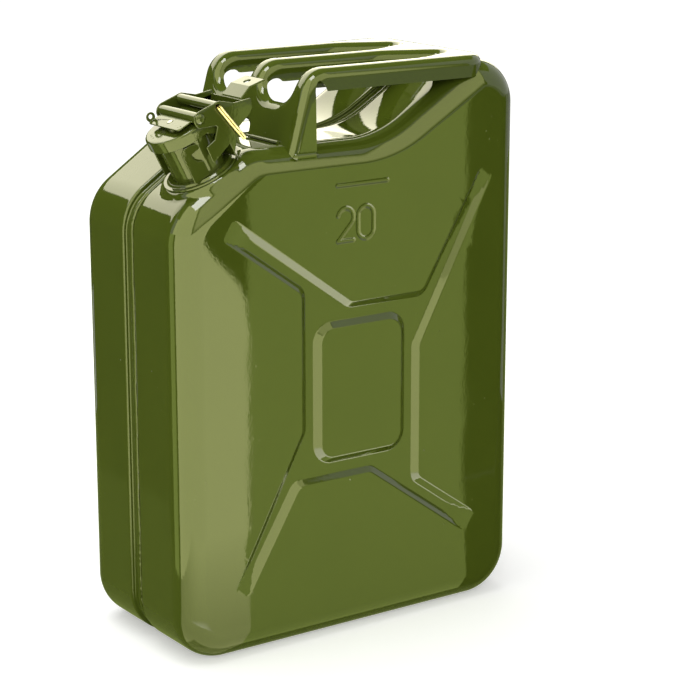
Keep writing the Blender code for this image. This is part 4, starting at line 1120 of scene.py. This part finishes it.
def camera():
    data = bpy.data.cameras.new("photo_camera")
    data.lens = CAMERA_LENS
    data.sensor_width = 36.0
    data.clip_start = 0.05
    data.clip_end = 100.0
    obj = bpy.data.objects.new("photo_camera", data)
    bpy.context.scene.collection.objects.link(obj)
    obj.location = CAMERA_PLACE
    obj.rotation_euler = (math.radians(90.0) - CAMERA_PITCH, 0.0, -CAMERA_YAW)
    bpy.context.scene.camera = obj


def dress(obj, *replaces):
    """Hide these CAD nodes and put a new piece on their body, with the material of their slot."""
    body = CARRIED[replaces[0]]
    slot = SLOTS[replaces[0]]
    obj.data.materials.clear()
    obj.data.materials.append(MATERIALS[slot])
    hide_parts(*replaces)
    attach(obj, body)


def body():
    dress(half_body("near_half", -1.0), "near_shell")
    dress(half_body("far_half", 1.0), "far_shell")
    dress(seam_weld(), "seam_weld")
    dress(handle_sheet(), "front_plate", "handle_grip")


def refined(name, width):
    """Copy of a CAD node with its hard edges rounded over."""
    mesh = NODES[name].data.copy()
    if "custom_normal" in mesh.attributes:
        mesh.attributes.remove(mesh.attributes["custom_normal"])
    bm = bmesh.new()
    bm.from_mesh(mesh)
    bmesh.ops.remove_doubles(bm, verts=bm.verts, dist=SAME_PLACE)
    bmesh.ops.dissolve_limit(bm, angle_limit=FLAT_ANGLE, verts=bm.verts, edges=bm.edges)
    hard = [e for e in bm.edges if len(e.link_faces) == 2 and e.calc_face_angle() > SHARP_ANGLE]
    bmesh.ops.bevel(bm, geom=hard, offset=width, segments=3, profile=0.5, affect="EDGES",
                    clamp_overlap=False)
    bmesh.ops.triangulate(bm, faces=[f for f in bm.faces if len(f.verts) > 4])
    bm.to_mesh(mesh)
    bm.free()
    mesh.shade_smooth()
    mesh.set_sharp_from_angle(angle=SHARP_ANGLE)
    obj = bpy.data.objects.new(name + "_dressed", mesh)
    bpy.context.scene.collection.objects.link(obj)
    weigh_normals(obj, REFINED_WEIGHT)
    return obj


def closure():
    for name, width in REFINED.items():
        dress(refined(name, width), name)


def carried_over():
    """Better materials on the nodes that keep their CAD shape."""
    for name, obj in NODES.items():
        for place in obj.material_slots:
            place.material = MATERIALS[SLOTS[name]]


MATERIALS = {
    "body_paint": paint("body_enamel", (0.0615, 0.0850, 0.0075), (0.0565, 0.0795, 0.0068),
                        roughness=0.04, dust=0.0, peel=0.00004),
    "closure_paint": paint("closure_enamel", (0.0640, 0.0860, 0.0095), (0.0500, 0.0700, 0.0075),
                           roughness=0.07, dust=0.06, peel=0.00008),
    "plain_steel": metal("drawn_steel", (0.55, 0.55, 0.53), (0.38, 0.38, 0.37), 0.3, 300.0),
    "gasket_rubber": rubber("seal_rubber"),
    "brass_wire": metal("brass", (0.74, 0.62, 0.40), (0.50, 0.40, 0.24), 0.28, 500.0),
}

bpy.context.scene.view_settings.view_transform = "Standard"
camera()
studio()
body()
closure()
carried_over()

bpy.context.view_layer.update()
